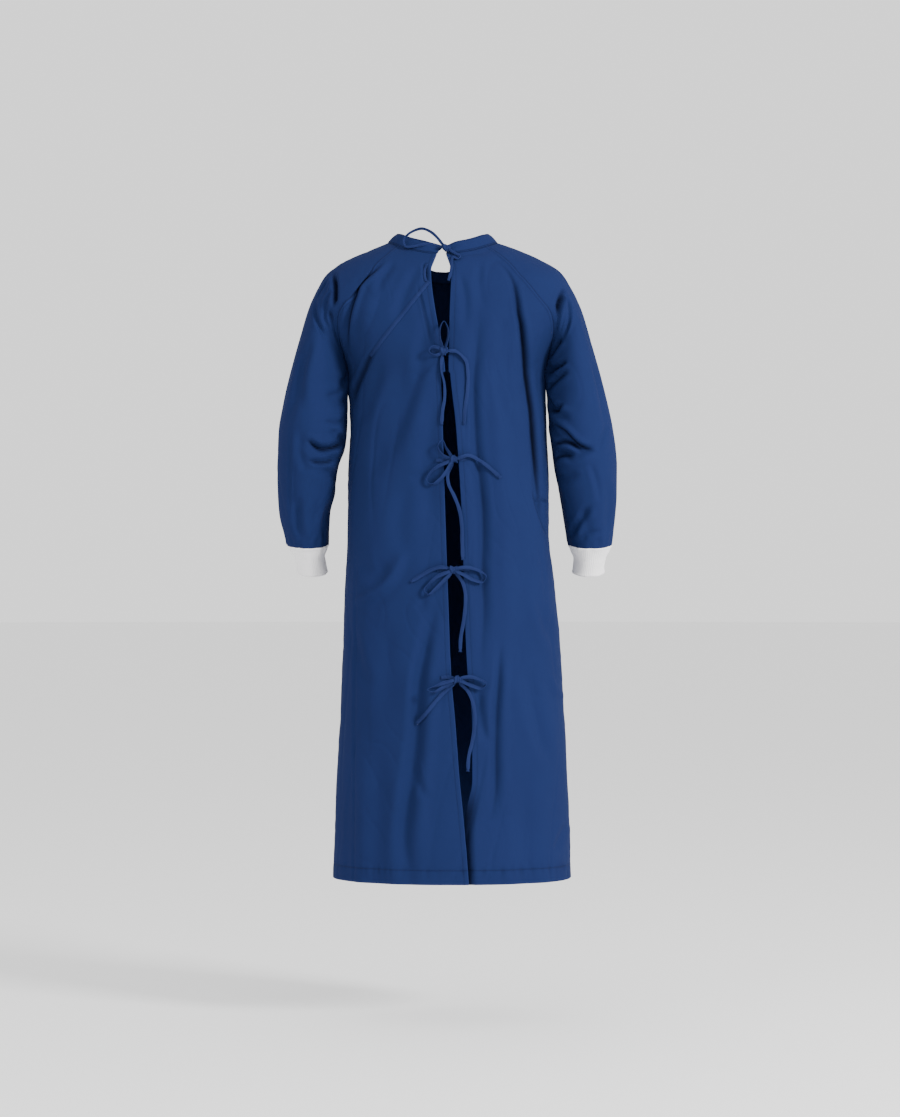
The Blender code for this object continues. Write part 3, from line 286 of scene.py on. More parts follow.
LEFT_SLEEVE_CREASES = [
    Crease([(-0.34, -72), (-0.38, -95), (-0.36, -120)], (6, 6), 3.0, 0.3, 0.3),
    Crease([(-0.36, -112), (-0.50, -150), (-0.72, -200)], (7, 7), 3.4, 0.5, 0.4),
    Crease([(-0.58, -90), (-0.68, -128), (-0.74, -170)], (6, 7), 2.4, -0.3),
    Crease([(-1.02, -250), (-0.88, -276), (-0.72, -290)], (8, 9), 3.4, 0.3),
    Crease([(-1.00, -310), (-0.80, -320), (-0.62, -318)], (8, 10), 2.2),
    Crease([(-0.40, -396), (-0.58, -416), (-0.86, -424)], (7, 8), 3.8, 0.5, 0.4),
    Crease([(-0.66, -376), (-0.80, -388), (-0.98, -396)], (7, 7), 3.0, 0.3, 0.3),
    Crease([(-0.56, -446), (-0.74, -462), (-0.98, -470)], (9, 9), 2.6),
    Crease([(-0.26, -205), (-0.27, -290), (-0.24, -370)], (8, 9), 2.4, -0.5, 0.3),
    Crease([(-0.34, -500), (-0.40, -550), (-0.38, -600)], (12, 13), 2.2),
    Crease([(-0.70, -520), (-0.66, -560), (-0.68, -600)], (9, 10), 1.8),
    Crease([(0.90, -296), (0.68, -340), (0.52, -390)], (9, 12), 3.2, 0.3),
    Crease([(0.96, -394), (0.64, -424), (0.34, -410)], (9, 11), 4.2, 0.4),
    Crease([(0.90, -456), (0.60, -490), (0.34, -486)], (9, 12), 2.6),
    Crease([(0.34, -110), (0.46, -180), (0.68, -226)], (9, 9), 2.6, 0.3),
    Crease([(0.18, -240), (0.20, -330), (0.16, -410)], (10, 12), 1.8),
    Crease([(0.42, -520), (0.50, -560), (0.46, -600)], (10, 12), 2.6),
    Crease([(-0.08, -20), (-0.16, -55), (-0.30, -80)], (7, 9), 1.6),
]

# ---- tapes: x, z and distance out from the cloth in millimetres, and twist in degrees -----------------
Spot = namedtuple("Spot", "x z out twist")


def spot(x, z, out, twist=0):
    """A place on a tape, from millimetres and degrees."""
    return Spot(x * MM, z * MM, out * MM, twist)


KNOTS = {
    "tie_1": spot(-7, -19, 8),
    "tie_2": spot(-12, -227, 8),
    "tie_3": spot(7, -438, 8),
    "tie_4": spot(6, -655, 8),
    "tie_5": spot(14, -869, 8),
}
ROUTES = {name: [spot(*row) for row in rows] for name, rows in {
    "tie_1_loop_left": [(-15, -11, 10, 15), (-24.5, 1, 12, 20), (-40, 14.5, 13, 25), (-55, 20.5, 13, 30),
        (-70, 17.5, 13, 40), (-83.5, 9.5, 13, 50), (-91.5, -1, 12, 60), (-88.5, -13.5, 10, 50),
        (-73, -15, 8, 25), (-56, -11.5, 6, 10), (-40, -10.5, 6, 0), (-23, -15, 6, 0)],
    "tie_1_tail_right": [(1, -24, 9, 15), (12, -31, 11, 30), (21, -37.5, 12, 85), (15, -41, 10, 125),
        (6, -37.5, 8, 150), (3.5, -45, 6, 165), (3, -58, 5, 175), (1, -72, 5, 180), (-3, -87, 6, 190)],
    "tie_2_anchor_left": [(-36, -228, 3, 0), (-21, -227, 6, 0)],
    "tie_2_anchor_right": [(12, -226, 3, 0), (-3, -226, 6, 0)],
    "tie_2_loop_up": [(-16, -216, 12, 40), (-20, -200, 14, 60), (-19, -180, 15, 70), (-12, -168, 15, 85),
        (-5, -180, 15, 110), (-4, -200, 14, 120), (-8, -216, 12, 140)],
    "tie_2_loop_left": [(-22, -221, 12, 10), (-34, -219, 13, 45), (-41, -226, 13, 85), (-34, -234, 12, 120),
        (-23, -234, 11, 150)],
    "tie_2_tail_right": [(-3, -226, 12, 10), (12, -227.5, 10, 35), (24, -236.5, 9, 45), (31.5, -246, 8, 20),
        (34.5, -262, 7, 30), (35.5, -285, 7, 25), (33.5, -312, 6, 15), (29, -343, 6, -10),
        (27.2, -370.5, 6, -20)],
    "tie_2_tail_down": [(-15, -237, 6, 45), (-17, -262, 6, 60), (-11, -291, 7, 50), (-10.5, -319, 7, 35),
        (-14.5, -344, 6, 30), (-16.5, -371, 6, 10)],
    "tie_3_anchor_left": [(-28, -441, 3, 0), (-2, -439, 6, 0)],
    "tie_3_anchor_right": [(32, -437, 3, 0), (16, -438, 6, 0)],
    "tie_3_loop_up": [(1, -430, 10, 20), (-8, -416, 12, 60), (-15, -401, 13, 88), (-24, -412, 13, 100),
        (-18, -427, 12, 130), (-3, -436, 11, 160)],
    "tie_3_loop_left": [(-2, -443, 13, 10), (-24, -453, 13, 30), (-40, -467, 13, 60), (-45, -482, 12, 90),
        (-36, -488, 12, 120), (-21, -479, 13, 150), (-8, -464, 13, 165), (1, -448, 13, 175)],
    "tie_3_tail_right": [(16, -436, 13, 0), (36, -431, 13, 15), (56, -439, 12, 30), (79, -456, 9, 10),
        (100, -475, 7, -10)],
    "tie_3_tail_down": [(4, -448, 7, 0), (-4, -466, 7, 20), (-3, -486, 7, 30), (8, -510, 7, 15),
        (18, -536, 7, 0), (23, -566, 7, -10), (24, -600, 7, 0), (25, -636, 7, 10)],
    "tie_4_anchor_left": [(-26, -656, 3, 0), (-3, -655, 6, 0)],
    "tie_4_anchor_right": [(38, -654, 3, 0), (15, -655, 6, 0)],
    "tie_4_tail_left": [(-3, -652, 12, 0), (-17, -650, 12, 5), (-35, -655, 10, 10), (-57, -667, 8, 0),
        (-77, -679, 6, -10)],
    "tie_4_loop_right": [(15, -652, 13, 0), (38, -651, 13, 20), (57, -657, 13, 50), (71, -668, 13, 90),
        (64, -678, 12, 130), (46, -675, 12, 150), (29, -666, 12, 165), (15, -659, 11, 175)],
    "tie_4_loop_left": [(-3, -659, 16, 0), (-22, -667, 15, 15), (-38, -680, 14, 45), (-50, -696, 13, 85),
        (-43, -704, 12, 120), (-30, -694, 12, 150), (-14, -678, 12, 165), (0, -664, 12, 175)],
    "tie_4_tail_down": [(13, -663, 6, 0), (24, -678, 6, 15), (30, -700, 6, 20), (30, -728, 6, 5),
        (26, -760, 6, -10), (21, -790, 6, 0), (20, -816, 6, 10)],
    "tie_5_anchor_left": [(-18, -866, 3, 0), (5, -866, 7, 0)],
    "tie_5_anchor_right": [(46, -868, 3, 0), (23, -869, 6, 0)],
    "tie_5_loop_left": [(5, -871, 17, 0), (-12, -876, 17, 10), (-30, -883, 17, 65), (-44, -889, 16, 90),
        (-34, -894, 15, 115), (-16, -886, 13, 165), (4, -875, 12, 175)],
    "tie_5_tail_left": [(8, -877, 6, 0), (-6, -890, 6, 0), (-19, -902, 7, 5), (-32, -917, 8, 10),
        (-48, -937, 9, 0), (-65, -956, 9, -10)],
    "tie_5_loop_right": [(23, -866, 13, 0), (38, -864, 13, 20), (55, -868, 13, 50), (71, -878, 13, 90),
        (62, -886, 12, 135), (44, -882, 12, 160), (24, -873, 12, 175)],
    "tie_5_tail_down": [(21, -878, 6, 0), (35, -892, 5, 10), (44, -912, 5, 15), (49, -941, 5, 5),
        (47, -971, 5, -5), (42, -998, 6, 10), (37, -1018, 6, 20), (35, -1049, 6, 0)],
}.items()}
# Each tape runs from where it is sewn on, through its knot, round its loop and out to its end.
Tape = namedtuple("Tape", "knot stretches far_end")
TAPES = {
    "neck_tape_left": Tape("tie_1", ["tie_1_loop_left"], "knot"),
    "neck_tape_right": Tape("tie_1", ["tie_1_tail_right"], "bare"),
    "second_tape_left": Tape("tie_2", ["tie_2_anchor_left", "tie_2_loop_up", "tie_2_tail_down"], "bare"),
    "second_tape_right": Tape("tie_2", ["tie_2_anchor_right", "tie_2_loop_left", "tie_2_tail_right"], "bare"),
    "third_tape_left": Tape("tie_3", ["tie_3_anchor_left", "tie_3_loop_up", "tie_3_tail_right"], "bare"),
    "third_tape_right": Tape("tie_3", ["tie_3_anchor_right", "tie_3_loop_left", "tie_3_tail_down"], "bare"),
    "fourth_tape_left": Tape("tie_4", ["tie_4_anchor_left", "tie_4_loop_right", "tie_4_tail_left"], "bare"),
    "fourth_tape_right": Tape("tie_4", ["tie_4_anchor_right", "tie_4_loop_left", "tie_4_tail_down"], "bare"),
    "fifth_tape_left": Tape("tie_5", ["tie_5_anchor_left", "tie_5_loop_right", "tie_5_tail_left"], "bare"),
    "fifth_tape_right": Tape("tie_5", ["tie_5_anchor_right", "tie_5_loop_left", "tie_5_tail_down"], "bare"),
}
StayTape = namedtuple("StayTape", "x_top z_top x_end z_end")
STAY_TAPE = StayTape(-0.041, -0.088, -0.157, -0.233)

# ---- relief beside edges and seams: distance from the edge, height and wall, all in millimetres ----
Relief = namedtuple("Relief", "away height wall")
TURNED_EDGE = [
    Relief(0.0, -0.55, 0.3), Relief(0.4, -0.10, 1.3), Relief(2.0, 0.08, 1.6), Relief(5.0, 0.06, 1.6),
    Relief(8.0, 0.06, 1.6), Relief(9.5, -0.30, 1.2), Relief(11.0, 0.00, 0.8), Relief(14.0, 0.00, 0.8),
]
FELLED_SEAM = [
    Relief(0.0, 0.10, 0.8), Relief(0.5, 0.50, 1.2), Relief(1.7, 0.18, 1.0), Relief(3.0, 0.58, 1.3),
    Relief(5.2, 0.58, 1.3), Relief(6.7, 0.18, 1.0), Relief(7.9, 0.50, 1.3), Relief(8.7, 0.00, 0.8),
    Relief(11.0, 0.00, 0.8), Relief(14.0, 0.00, 0.8),
]
PLAIN_SIDE = [Relief(0.0, 0.00, 0.8), Relief(0.5, 0.02, 0.8), Relief(3.0, 0.00, 0.8), Relief(7.0, 0.00, 0.8),
              Relief(12.0, 0.00, 0.8)]
EDGE_STITCH, SEAM_STITCHES = 9.5, (1.7, 6.7)
CLOTH_WALL = 0.8 * MM


# ---- settings --------------------------------------------------------------------------------------
class GownClothSettings(bpy.types.PropertyGroup):
    """Cloth of the panels, sleeves and neckband."""
    colour: bpy.props.FloatVectorProperty(
        name="Cloth colour", description="Colour of the woven cloth", subtype="COLOR", size=3,
        min=0, max=1, default=(0.0092, 0.0165, 0.0630))
    spacing: bpy.props.FloatProperty(
        name="Row spacing", description="Distance between two rows of the cloth's mesh", default=0.0036,
        min=0.002, max=0.02, unit="LENGTH")
    middle_columns: bpy.props.IntProperty(
        name="Columns of a back panel", description="Columns of a back panel's mesh between its edges",
        default=84, min=10, max=200)
    fold: bpy.props.FloatProperty(
        name="Fold depth", description="Depth of all creases, as a share of their own", default=1.6, min=0, max=2)
    hem: bpy.props.FloatProperty(
        name="Hem depth", description="Height of the hem's stitching over its edge", default=0.028, min=0.01,
        max=0.06, unit="LENGTH")


class GownTapeSettings(bpy.types.PropertyGroup):
    """Tapes and knots."""
    colour: bpy.props.FloatVectorProperty(
        name="Tape colour", description="Colour of the tapes", subtype="COLOR", size=3, min=0, max=1,
        default=(0.0105, 0.0185, 0.0700))
    width: bpy.props.FloatProperty(
        name="Tape width", description="Width of a tape", default=0.0070, min=0.004, max=0.02, unit="LENGTH")
    thick: bpy.props.FloatProperty(
        name="Tape thickness", description="Thickness of a folded tape", default=0.0009, min=0.0005,
        max=0.003, unit="LENGTH")
    bunched: bpy.props.FloatProperty(
        name="Bunching", description="Width of a tape inside its knot, as a share of its own", default=0.62,
        min=0.3, max=1)


class GownThreadSettings(bpy.types.PropertyGroup):
    """Sewing thread."""
    colour: bpy.props.FloatVectorProperty(
        name="Thread colour", description="Colour of the sewing thread", subtype="COLOR", size=3, min=0,
        max=1, default=(0.0070, 0.0130, 0.0520))
    stitch: bpy.props.FloatProperty(
        name="Stitch length", description="Length of a stitch", default=0.0026, min=0.001, max=0.006,
        unit="LENGTH")
    gap: bpy.props.FloatProperty(
        name="Stitch gap", description="Gap between two stitches", default=0.0006, min=0.0002, max=0.003,
        unit="LENGTH")
    thick: bpy.props.FloatProperty(
        name="Thread thickness", description="Thickness of the thread", default=0.00042, min=0.0002,
        max=0.001, unit="LENGTH")


class GownCuffSettings(bpy.types.PropertyGroup):
    """Knitted cuffs."""
    colour: bpy.props.FloatVectorProperty(
        name="Cuff colour", description="Colour of the rib knit", subtype="COLOR", size=3, min=0, max=1,
        default=(0.80, 0.79, 0.80))
    ribs: bpy.props.IntProperty(
        name="Ribs", description="Ribs round a cuff", default=58, min=10, max=120)
    rib_depth: bpy.props.FloatProperty(
        name="Rib depth", description="Depth of the furrow between two ribs", default=0.0005, min=0,
        max=0.003, unit="LENGTH")
    wall: bpy.props.FloatProperty(
        name="Cuff wall", description="Thickness of the doubled knit", default=0.0018, min=0.0005,
        max=0.004, unit="LENGTH")


class GownStageSettings(bpy.types.PropertyGroup):
    """Floor, lights and camera."""
    floor_colour: bpy.props.FloatVectorProperty(
        name="Floor colour", description="Colour of the floor", subtype="COLOR", size=3, min=0, max=1,
        default=(0.90, 0.90, 0.90))
    floor_drop: bpy.props.FloatProperty(
        name="Floor drop", description="Distance of the floor below the hem", default=0.28, min=0.0, max=2,
        unit="LENGTH")
    sky: bpy.props.FloatProperty(
        name="Surrounding light", description="Strength of the light from all round", default=1.4, min=0,
        max=5)
    key: bpy.props.FloatProperty(
        name="Key light", description="Power of the main light", default=430.0, min=0, max=2000, unit="POWER")
    fill: bpy.props.FloatProperty(
        name="Fill light", description="Power of the light on the other side", default=50.0, min=0,
        max=2000, unit="POWER")


SETTINGS = {
    "gown_cloth": GownClothSettings,
    "gown_tapes": GownTapeSettings,
    "gown_thread": GownThreadSettings,
    "gown_cuffs": GownCuffSettings,
    "gown_stage": GownStageSettings,
}


def settings(name):
    """One group of settings of the open scene."""
    return getattr(bpy.context.scene, name)


# ---- reading tables ----------------------------------------------------------------------------------
def steady_slopes(keys, values):
    """Slopes for a smooth curve that never swings past its own values."""
    steps = np.diff(values) / np.diff(keys)
    before, after = steps[:-1], steps[1:]
    same_way = before * after > 0
    total = np.where(same_way, before + after, 1.0)
    inner = np.where(same_way, 2 * before * after / total, 0.0)
    return np.concatenate([steps[:1], inner, steps[-1:]])


def curve_through(keys, values, slopes, places):
    """A smooth curve through some values, with its slopes given, read at places between their keys."""
    low = np.clip(np.searchsorted(keys, places) - 1, 0, len(keys) - 2)
    span = keys[low + 1] - keys[low]
    part = (places - keys[low]) / span
    if values.ndim > 1:
        span, part = span[:, None], part[:, None]
    rest = 1 - part
    return ((1 + 2 * part) * rest ** 2 * values[low] + part * rest ** 2 * span * slopes[low]
            + part ** 2 * (3 - 2 * part) * values[low + 1] - part ** 2 * rest * span * slopes[low + 1])


def read(table, name, place):
    """One column of a table at any place along its first column, on a smooth curve."""
    rows = sorted(table)
    keys = np.array([row[0] for row in rows], float)
    values = np.array([getattr(row, name) for row in rows], float)
    return curve_through(keys, values, steady_slopes(keys, values), np.clip(place, keys[0], keys[-1]))


def relief(table, name, away):
    """Height or wall of a relief table in metres, at a distance in metres."""
    return np.interp(away / MM, [row.away for row in table], [getattr(row, name) for row in table]) * MM


def soft_step(value):
    """0 to 1 with level ends."""
    value = np.clip(value, 0.0, 1.0)
    return value * value * (3 - 2 * value)


def bell(value):
    """1 at 0, and fading on both sides."""
    return np.exp(-value ** 2)


def signed_power(value, exponent):
    """A power that keeps the sign."""
    return np.sign(value) * np.abs(value) ** exponent


# ---- lines and directions ------------------------------------------------------------------------------
def unit(vectors):
    """Vectors brought to length 1."""
    return vectors / np.linalg.norm(vectors, axis=-1, keepdims=True)


def square_to(vectors, ahead):
    """Vectors of length 1, turned until they are square to another direction."""
    return unit(vectors - ahead * (vectors * ahead).sum(axis=1)[:, None])


def travelled(points):
    """Distance along a line from its start to each of its points."""
    return np.concatenate([[0], np.cumsum(np.linalg.norm(np.diff(points, axis=0), axis=1))])


def even_points(line, count):
    """Evenly spaced points along a line, and how far along it they are."""
    travel = travelled(line)
    places = np.linspace(0, travel[-1], count + 1)
    return np.stack([np.interp(places, travel, column) for column in line[:, :3].T], axis=1), places


def smooth_line(points, pieces):
    """Close points on a smooth curve through a few."""
    points = np.array(points, float)
    travel = travelled(points)
    places = np.linspace(0, travel[-1], pieces * (len(points) - 1) + 1)
    return curve_through(travel, points, np.gradient(points, travel, axis=0), places)


def eased(values):
    """Values each moved towards their two neighbours."""
    return np.convolve(np.pad(values, 1, mode="edge"), [0.25, 0.5, 0.25], mode="valid")


def ease_rows(rows):
    """Rows each moved towards their two neighbours, in place; the first and the last stay."""
    rows[1:-1] = (rows[:-2] + 2 * rows[1:-1] + rows[2:]) / 4


# ---- the gown's surface --------------------------------------------------------------------------------
def oval(side, angle, table, place):
    """x and y round a table's rounded-square ring; angle is 0 at the centre back and 180 degrees in front."""
    left, right, back, front, square = (read(table, name, place)
                                        for name in ("left", "right", "back", "front", "square"))
    half = (right - left) / 2
    x = (left + right) / 2 + side * half * signed_power(np.sin(angle), 2 / square)
    across = np.cos(angle)
    y = np.where(across > 0, -back, front) * np.abs(across) ** (2 / square)
    return x, y


def yoke_point(side, angle, down):
    """The one shell over shoulders and upper arms."""
    x, y = oval(side, angle, YOKE, down)
    across = np.cos(angle)
    end_z = np.where(across > 0, read(YOKE, "back_z", down), read(YOKE, "front_z", down))
    side_z = read(YOKE, "side_z", down)
    return x, y, side_z + (end_z - side_z) * across ** 2


def body_point(side, angle, z):
    """The body's tube at one height."""
    x, y = oval(side, angle, BODY, z)
    return x, y * (1 - read(PINCH, "share", z) * np.sin(angle) ** 10)


def sleeve_point(side, turn, z):
    """A sleeve's ring at one height."""
    word = SIDES[side]
    outer = read(SLEEVE, "outer_" + word, z)
    inner = read(BODY, word, z) + side * read(SLEEVE, "clear_" + word, z)
    middle = read(SLEEVE, "middle", z)
    x = (outer + inner) / 2 + (outer - inner) / 2 * np.cos(math.pi * turn)
    point = 1 - read(PINCH, "share", z) * (0.5 - 0.5 * np.cos(math.pi * turn)) ** 3
    y = middle + read(SLEEVE, "depth", z) * np.sin(math.pi * turn) * point
    return x, y, z + read(SLEEVE, "tilt", z) * (y - middle)


def parting(down):
    """How far the sleeves have parted from the body, 0 in the yoke and 1 at the underarm."""
    return soft_step((down - BLEND_START) / (1 - BLEND_START))


def edge_angle(side, z):
    """Angle round the body at which a back panel's centre edge lies."""
    word = SIDES[side]
    down = np.interp(-z, [-row.back_z for row in YOKE], [row.down for row in YOKE])
    upper = z > UNDERARM_Z
    left = np.where(upper, read(YOKE, "left", down), read(BODY, "left", z))
    right = np.where(upper, read(YOKE, "right", down), read(BODY, "right", z))
    share = np.where(upper, parting(down), 1.0)
    half = (1 - share) * (right - left) / 2
    half = half + share * (read(BODY, "right", z) - read(BODY, "left", z)) / 2
    offset = side * (read(EDGE, word, z) - (left + right) / 2) / half
    square = np.where(upper, read(YOKE, "square", down), read(BODY, "square", z))
    return np.arcsin(signed_power(np.clip(offset, -1, 1), square / 2))


DENSE = 240                 # points worked out across a half panel before its columns are laid
YOKE_LENGTH = 0.300         # length of the yoke from neck to underarm, along the cloth
STITCH_ROOM = 1.6 * MM      # gap between the hem's stitched row and its two neighbours
LAST_GAP = 0.8 * MM         # gap between the last two rows of a piece


def yoke_rows(spacing):
    """Share of the yoke for each of its rows."""
    return np.linspace(0, 1, round(YOKE_LENGTH / spacing) + 1)


def body_heights(spacing, hem):
    """Heights of the rows below the underarm, with three close rows at the hem's stitching."""
    stitched = HEM_Z + hem
    count = round((UNDERARM_Z - stitched) / spacing)
    upper = np.linspace(UNDERARM_Z, stitched + STITCH_ROOM, count)[1:]
    lower = np.linspace(stitched - STITCH_ROOM, HEM_Z + LAST_GAP, round(hem / spacing))
    return np.concatenate([upper, [stitched], lower, [HEM_Z]])


def drawn_in(place, ring, down, turn):
    """The yoke's points drawn towards a ring as the sleeves part from the body."""
    (x, y, z), (ring_x, ring_y) = place, ring
    share = parting(down)[:, None]
    return np.stack([x + share * (ring_x - x), y + share * (ring_y - y), z, turn + 0 * z], axis=-1)


def half_body(side, in_front, down, heights):
    """Dense rows from the centre line to the raglan and side seams, on the back or in front."""
    across = np.linspace(0, 1, DENSE + 1)[None, :]
    seam_name = "front" if in_front else "back"
    seam = np.radians(read(RAGLAN, seam_name, down))[:, None]
    end_z = read(YOKE, seam_name + "_z", down)[:, None]
    start = np.zeros_like(end_z) if in_front else edge_angle(side, end_z)
    low_start = np.zeros((len(heights), 1)) if in_front else edge_angle(side, heights[:, None])
    yoke_angle = start + across * (seam - start)
    ring_angle = start + across * (math.pi / 2 - start)
    low_angle = low_start + across * (math.pi / 2 - low_start)
    if in_front:
        yoke_angle, ring_angle, low_angle = (math.pi - a for a in (yoke_angle, ring_angle, low_angle))
    place = yoke_point(side, yoke_angle, down[:, None])
    upper = drawn_in(place, body_point(side, ring_angle, place[2]), down, 0)
    low_z = np.broadcast_to(heights[:, None], low_angle.shape)
    low_x, low_y = body_point(side, low_angle, low_z)
    return np.concatenate([upper, np.stack([low_x, low_y, low_z, 0 * low_z], axis=-1)])


def sleeve_rows(side, down, spacing):
    """Dense rows round a sleeve, from the neck over the shoulder to the wrist, with their turns."""
    turn = np.linspace(-1, 1, 2 * DENSE + 1)[None, :]
    back = np.radians(read(RAGLAN, "back", down))[:, None]
    front = np.radians(read(RAGLAN, "front", down))[:, None]
    angle = np.where(turn < 0, math.pi / 2 + turn * (math.pi / 2 - back),
                     math.pi / 2 + turn * (math.pi / 2 - front))
    place = yoke_point(side, angle, down[:, None])
    upper = drawn_in(place, sleeve_point(side, turn, place[2])[:2], down, turn)
    count = round((UNDERARM_Z - WRIST_Z) / spacing)
    heights = np.concatenate([np.linspace(UNDERARM_Z, WRIST_Z + LAST_GAP, count)[1:], [WRIST_Z]])[:, None]
    lower = np.stack([*sleeve_point(side, turn, heights + 0 * turn), turn + 0 * heights], axis=-1)
    return np.concatenate([upper, lower])


def lay_columns(dense, start_side, end_side, middle):
    """Columns at true distances from both ends of every row, and evenly spaced in between."""
    steps = np.linalg.norm(np.diff(dense[..., :3], axis=1), axis=2)
    travel = np.concatenate([np.zeros((len(dense), 1)), np.cumsum(steps, axis=1)], axis=1)
    first = np.array([row.away for row in start_side]) * MM
    last = np.array([row.away for row in end_side]) * MM
    grid, runs = [], []
    for row, run in zip(dense, travel):
        width = run[-1]
        inner = np.linspace(first[-1], width - last[-1], middle + 1)
        places = np.concatenate([first[:-1], inner, width - last[-2::-1]])
        grid.append(np.stack([np.interp(places, run, row[:, k]) for k in range(4)], axis=1))
        runs.append(places)
    return np.array(grid), np.array(runs), travel[:, -1:]


# ---- creases -------------------------------------------------------------------------------------------
CREASE_CORE = 2.8           # half width of the painted shade line along a crisp crease, in millimetres
CREASE_REACH = 3.5          # distance at which a crease has gone, in its half widths
CREASE_FADE = 0.3           # share of a crease's length over which it comes or goes at each end
RIM, RIM_AWAY = 0.3, 2.0    # height of its two rims as a share of its depth, and their place in half widths
BANK = 0.7                  # height of the one bank that "skew" raises, as a share of its depth
SHARPEST = 0.9              # what a full "sharp" takes off the power that rounds its bottom
LINE_PIECES = 5             # short straight pieces between two points of a crease
HEM_REACH = 12 * MM         # creases that come this near the hem are carried on past it
HEM_CARRY = 0.8             # by this share of their last stretch


def crease_depth(x, z, creases):
    """How far the cloth dips at each place, added up over a list of creases, and how much painted shade darkens
    it there.
    """
    places = np.stack([np.ravel(x), np.ravel(z)], axis=1)
    total, shadow = np.zeros(len(places)), np.zeros(len(places))
    for crease in creases:
        line = smooth_line(crease.line, LINE_PIECES) * MM
        reach = CREASE_REACH * max(crease.wide) * MM
        near = np.all((places > line.min(axis=0) - reach) & (places < line.max(axis=0) + reach), axis=1)
        here = places[near]
        if not len(here):
            continue
        start, along = line[:-1], np.diff(line, axis=0)
        offset = here[:, None, :] - start[None]
        part = np.clip((offset * along).sum(-1) / (along ** 2).sum(-1), 0, 1)
        gap = offset - part[..., None] * along
        distance = np.linalg.norm(gap, axis=-1)
        best = distance.argmin(axis=1)
        rows = np.arange(len(here))
        turn = along[best, 0] * gap[rows, best, 1] - along[best, 1] * gap[rows, best, 0]
        down = (best + part[rows, best]) / len(along)
        width = (crease.wide[0] + (crease.wide[1] - crease.wide[0]) * down) * MM
        away = np.sign(turn) * distance[rows, best] / width
        trough = np.exp(-np.abs(away) ** (2 - SHARPEST * crease.sharp))
        rims = bell(np.abs(away) - RIM_AWAY)
        bank = crease.skew * away * np.exp(0.5 - 0.5 * away ** 2)
        ends = soft_step(down / CREASE_FADE) * soft_step((1 - down) / CREASE_FADE)
        total[near] += crease.depth * MM * ends * (trough - RIM * rims + BANK * bank)
        core = bell(distance[rows, best] / (CREASE_CORE * MM))
        # painted shade along the bottom of a crease, standing in for its self-shadow
        shadow[near] = np.maximum(shadow[near], crease.dark * ends * core)
    return np.stack([total, shadow]).reshape(2, *np.shape(x))


def to_hem(creases):
    """Creases that end at the hem are carried on past it, so that they don't fade there."""
    longer = []
    for crease in creases:
        (x_before, z_before), (x_end, z_end) = crease.line[-2:]
        if z_end * MM < HEM_Z + HEM_REACH:
            beyond = (x_end + (x_end - x_before) * HEM_CARRY, z_end + (z_end - z_before) * HEM_CARRY)
            crease = crease._replace(line=[*crease.line, beyond])
        longer.append(crease)
    return longer


WAVES = 7


def ripples(points, size, seed, upright=0.35):
    """Gentle waves in space, from -1 to 1, longer up and down than across."""
    draw = np.random.default_rng(seed)
    total = np.zeros(points.shape[:-1])
    for _ in range(WAVES):
        heading = draw.normal(size=3) * [1, 1, upright]
        heading *= draw.uniform(0.7, 1.4) * 2 * math.pi / size / np.linalg.norm(heading)
        total += np.sin(points @ heading + draw.uniform(0, 2 * math.pi))
    return total / WAVES


Wave = namedtuple("Wave", "size seed depth upright")
SWELLS = [Wave(0.130, 3, 0.9 * MM, 0.3), Wave(0.048, 5, 0.4 * MM, 0.4)]
WRINKLES = [Wave(0.110, 51, 1.0 * MM, 0.28), Wave(0.060, 57, 0.55 * MM, 0.28)]
GATHERS = Wave(0.020, 11, 1.4 * MM, 0.35)
WRINKLE_WIDTH = 0.16        # share of a wave's height that a wrinkle takes up
WRINKLED_PATCH = 0.240      # size of the patches in which they come and go


def wrinkles(points):
    """Small crisp wrinkles that come and go, mostly running down the cloth."""
    total = np.zeros(points.shape[:-1])
    for wrinkle in WRINKLES:
        wave = np.abs(ripples(points, wrinkle.size, wrinkle.seed, wrinkle.upright))
        line = np.clip(1 - wave / WRINKLE_WIDTH, 0, 1) ** 1.6
        share = soft_step(ripples(points, WRINKLED_PATCH, wrinkle.seed + 1, 0.6) * 1.6 + 0.35)
        total += wrinkle.depth * line * share
    return total


# ---- sharing points between panels ----------------------------------------------------------------------
WELD = 0.01 * MM            # points nearer than this count as one


def weld_ids(grids):
    """For each grid the numbers of its points, where points at one place share a number."""
    points = np.concatenate([grid[..., :3].reshape(-1, 3) for grid in grids])
    _, number = np.unique(np.round(points / WELD).astype(np.int64), axis=0, return_inverse=True)
    ids, first = [], 0
    for grid in grids:
        count = grid.shape[0] * grid.shape[1]
        ids.append(number.ravel()[first:first + count].reshape(grid.shape[:2]))
        first += count
    return ids


def shared_outward(grids, ids):
    """Outward directions that panels share where they meet."""
    total = np.zeros((max(i.max() for i in ids) + 1, 3))
    for grid, number in zip(grids, ids):
        points = grid[..., :3]
        a, b, c, d = points[:-1, :-1], points[:-1, 1:], points[1:, 1:], points[1:, :-1]
        facing = np.cross(c - a, b - d)
        facing /= np.maximum(np.linalg.norm(facing, axis=-1, keepdims=True), 1e-12)
        for corner in (number[:-1, :-1], number[:-1, 1:], number[1:, 1:], number[1:, :-1]):
            np.add.at(total, corner, facing)
    total /= np.maximum(np.linalg.norm(total, axis=1, keepdims=True), 1e-12)
    return [total[number] for number in ids]


def shared_mean(values, ids):
    """Values averaged where panels meet."""
    size = max(i.max() for i in ids) + 1
    total, count = np.zeros(size), np.zeros(size)
    for value, number in zip(values, ids):
        np.add.at(total, number, value)
        np.add.at(count, number, 1)
    mean = total / np.maximum(count, 1)
    return [mean[number] for number in ids]


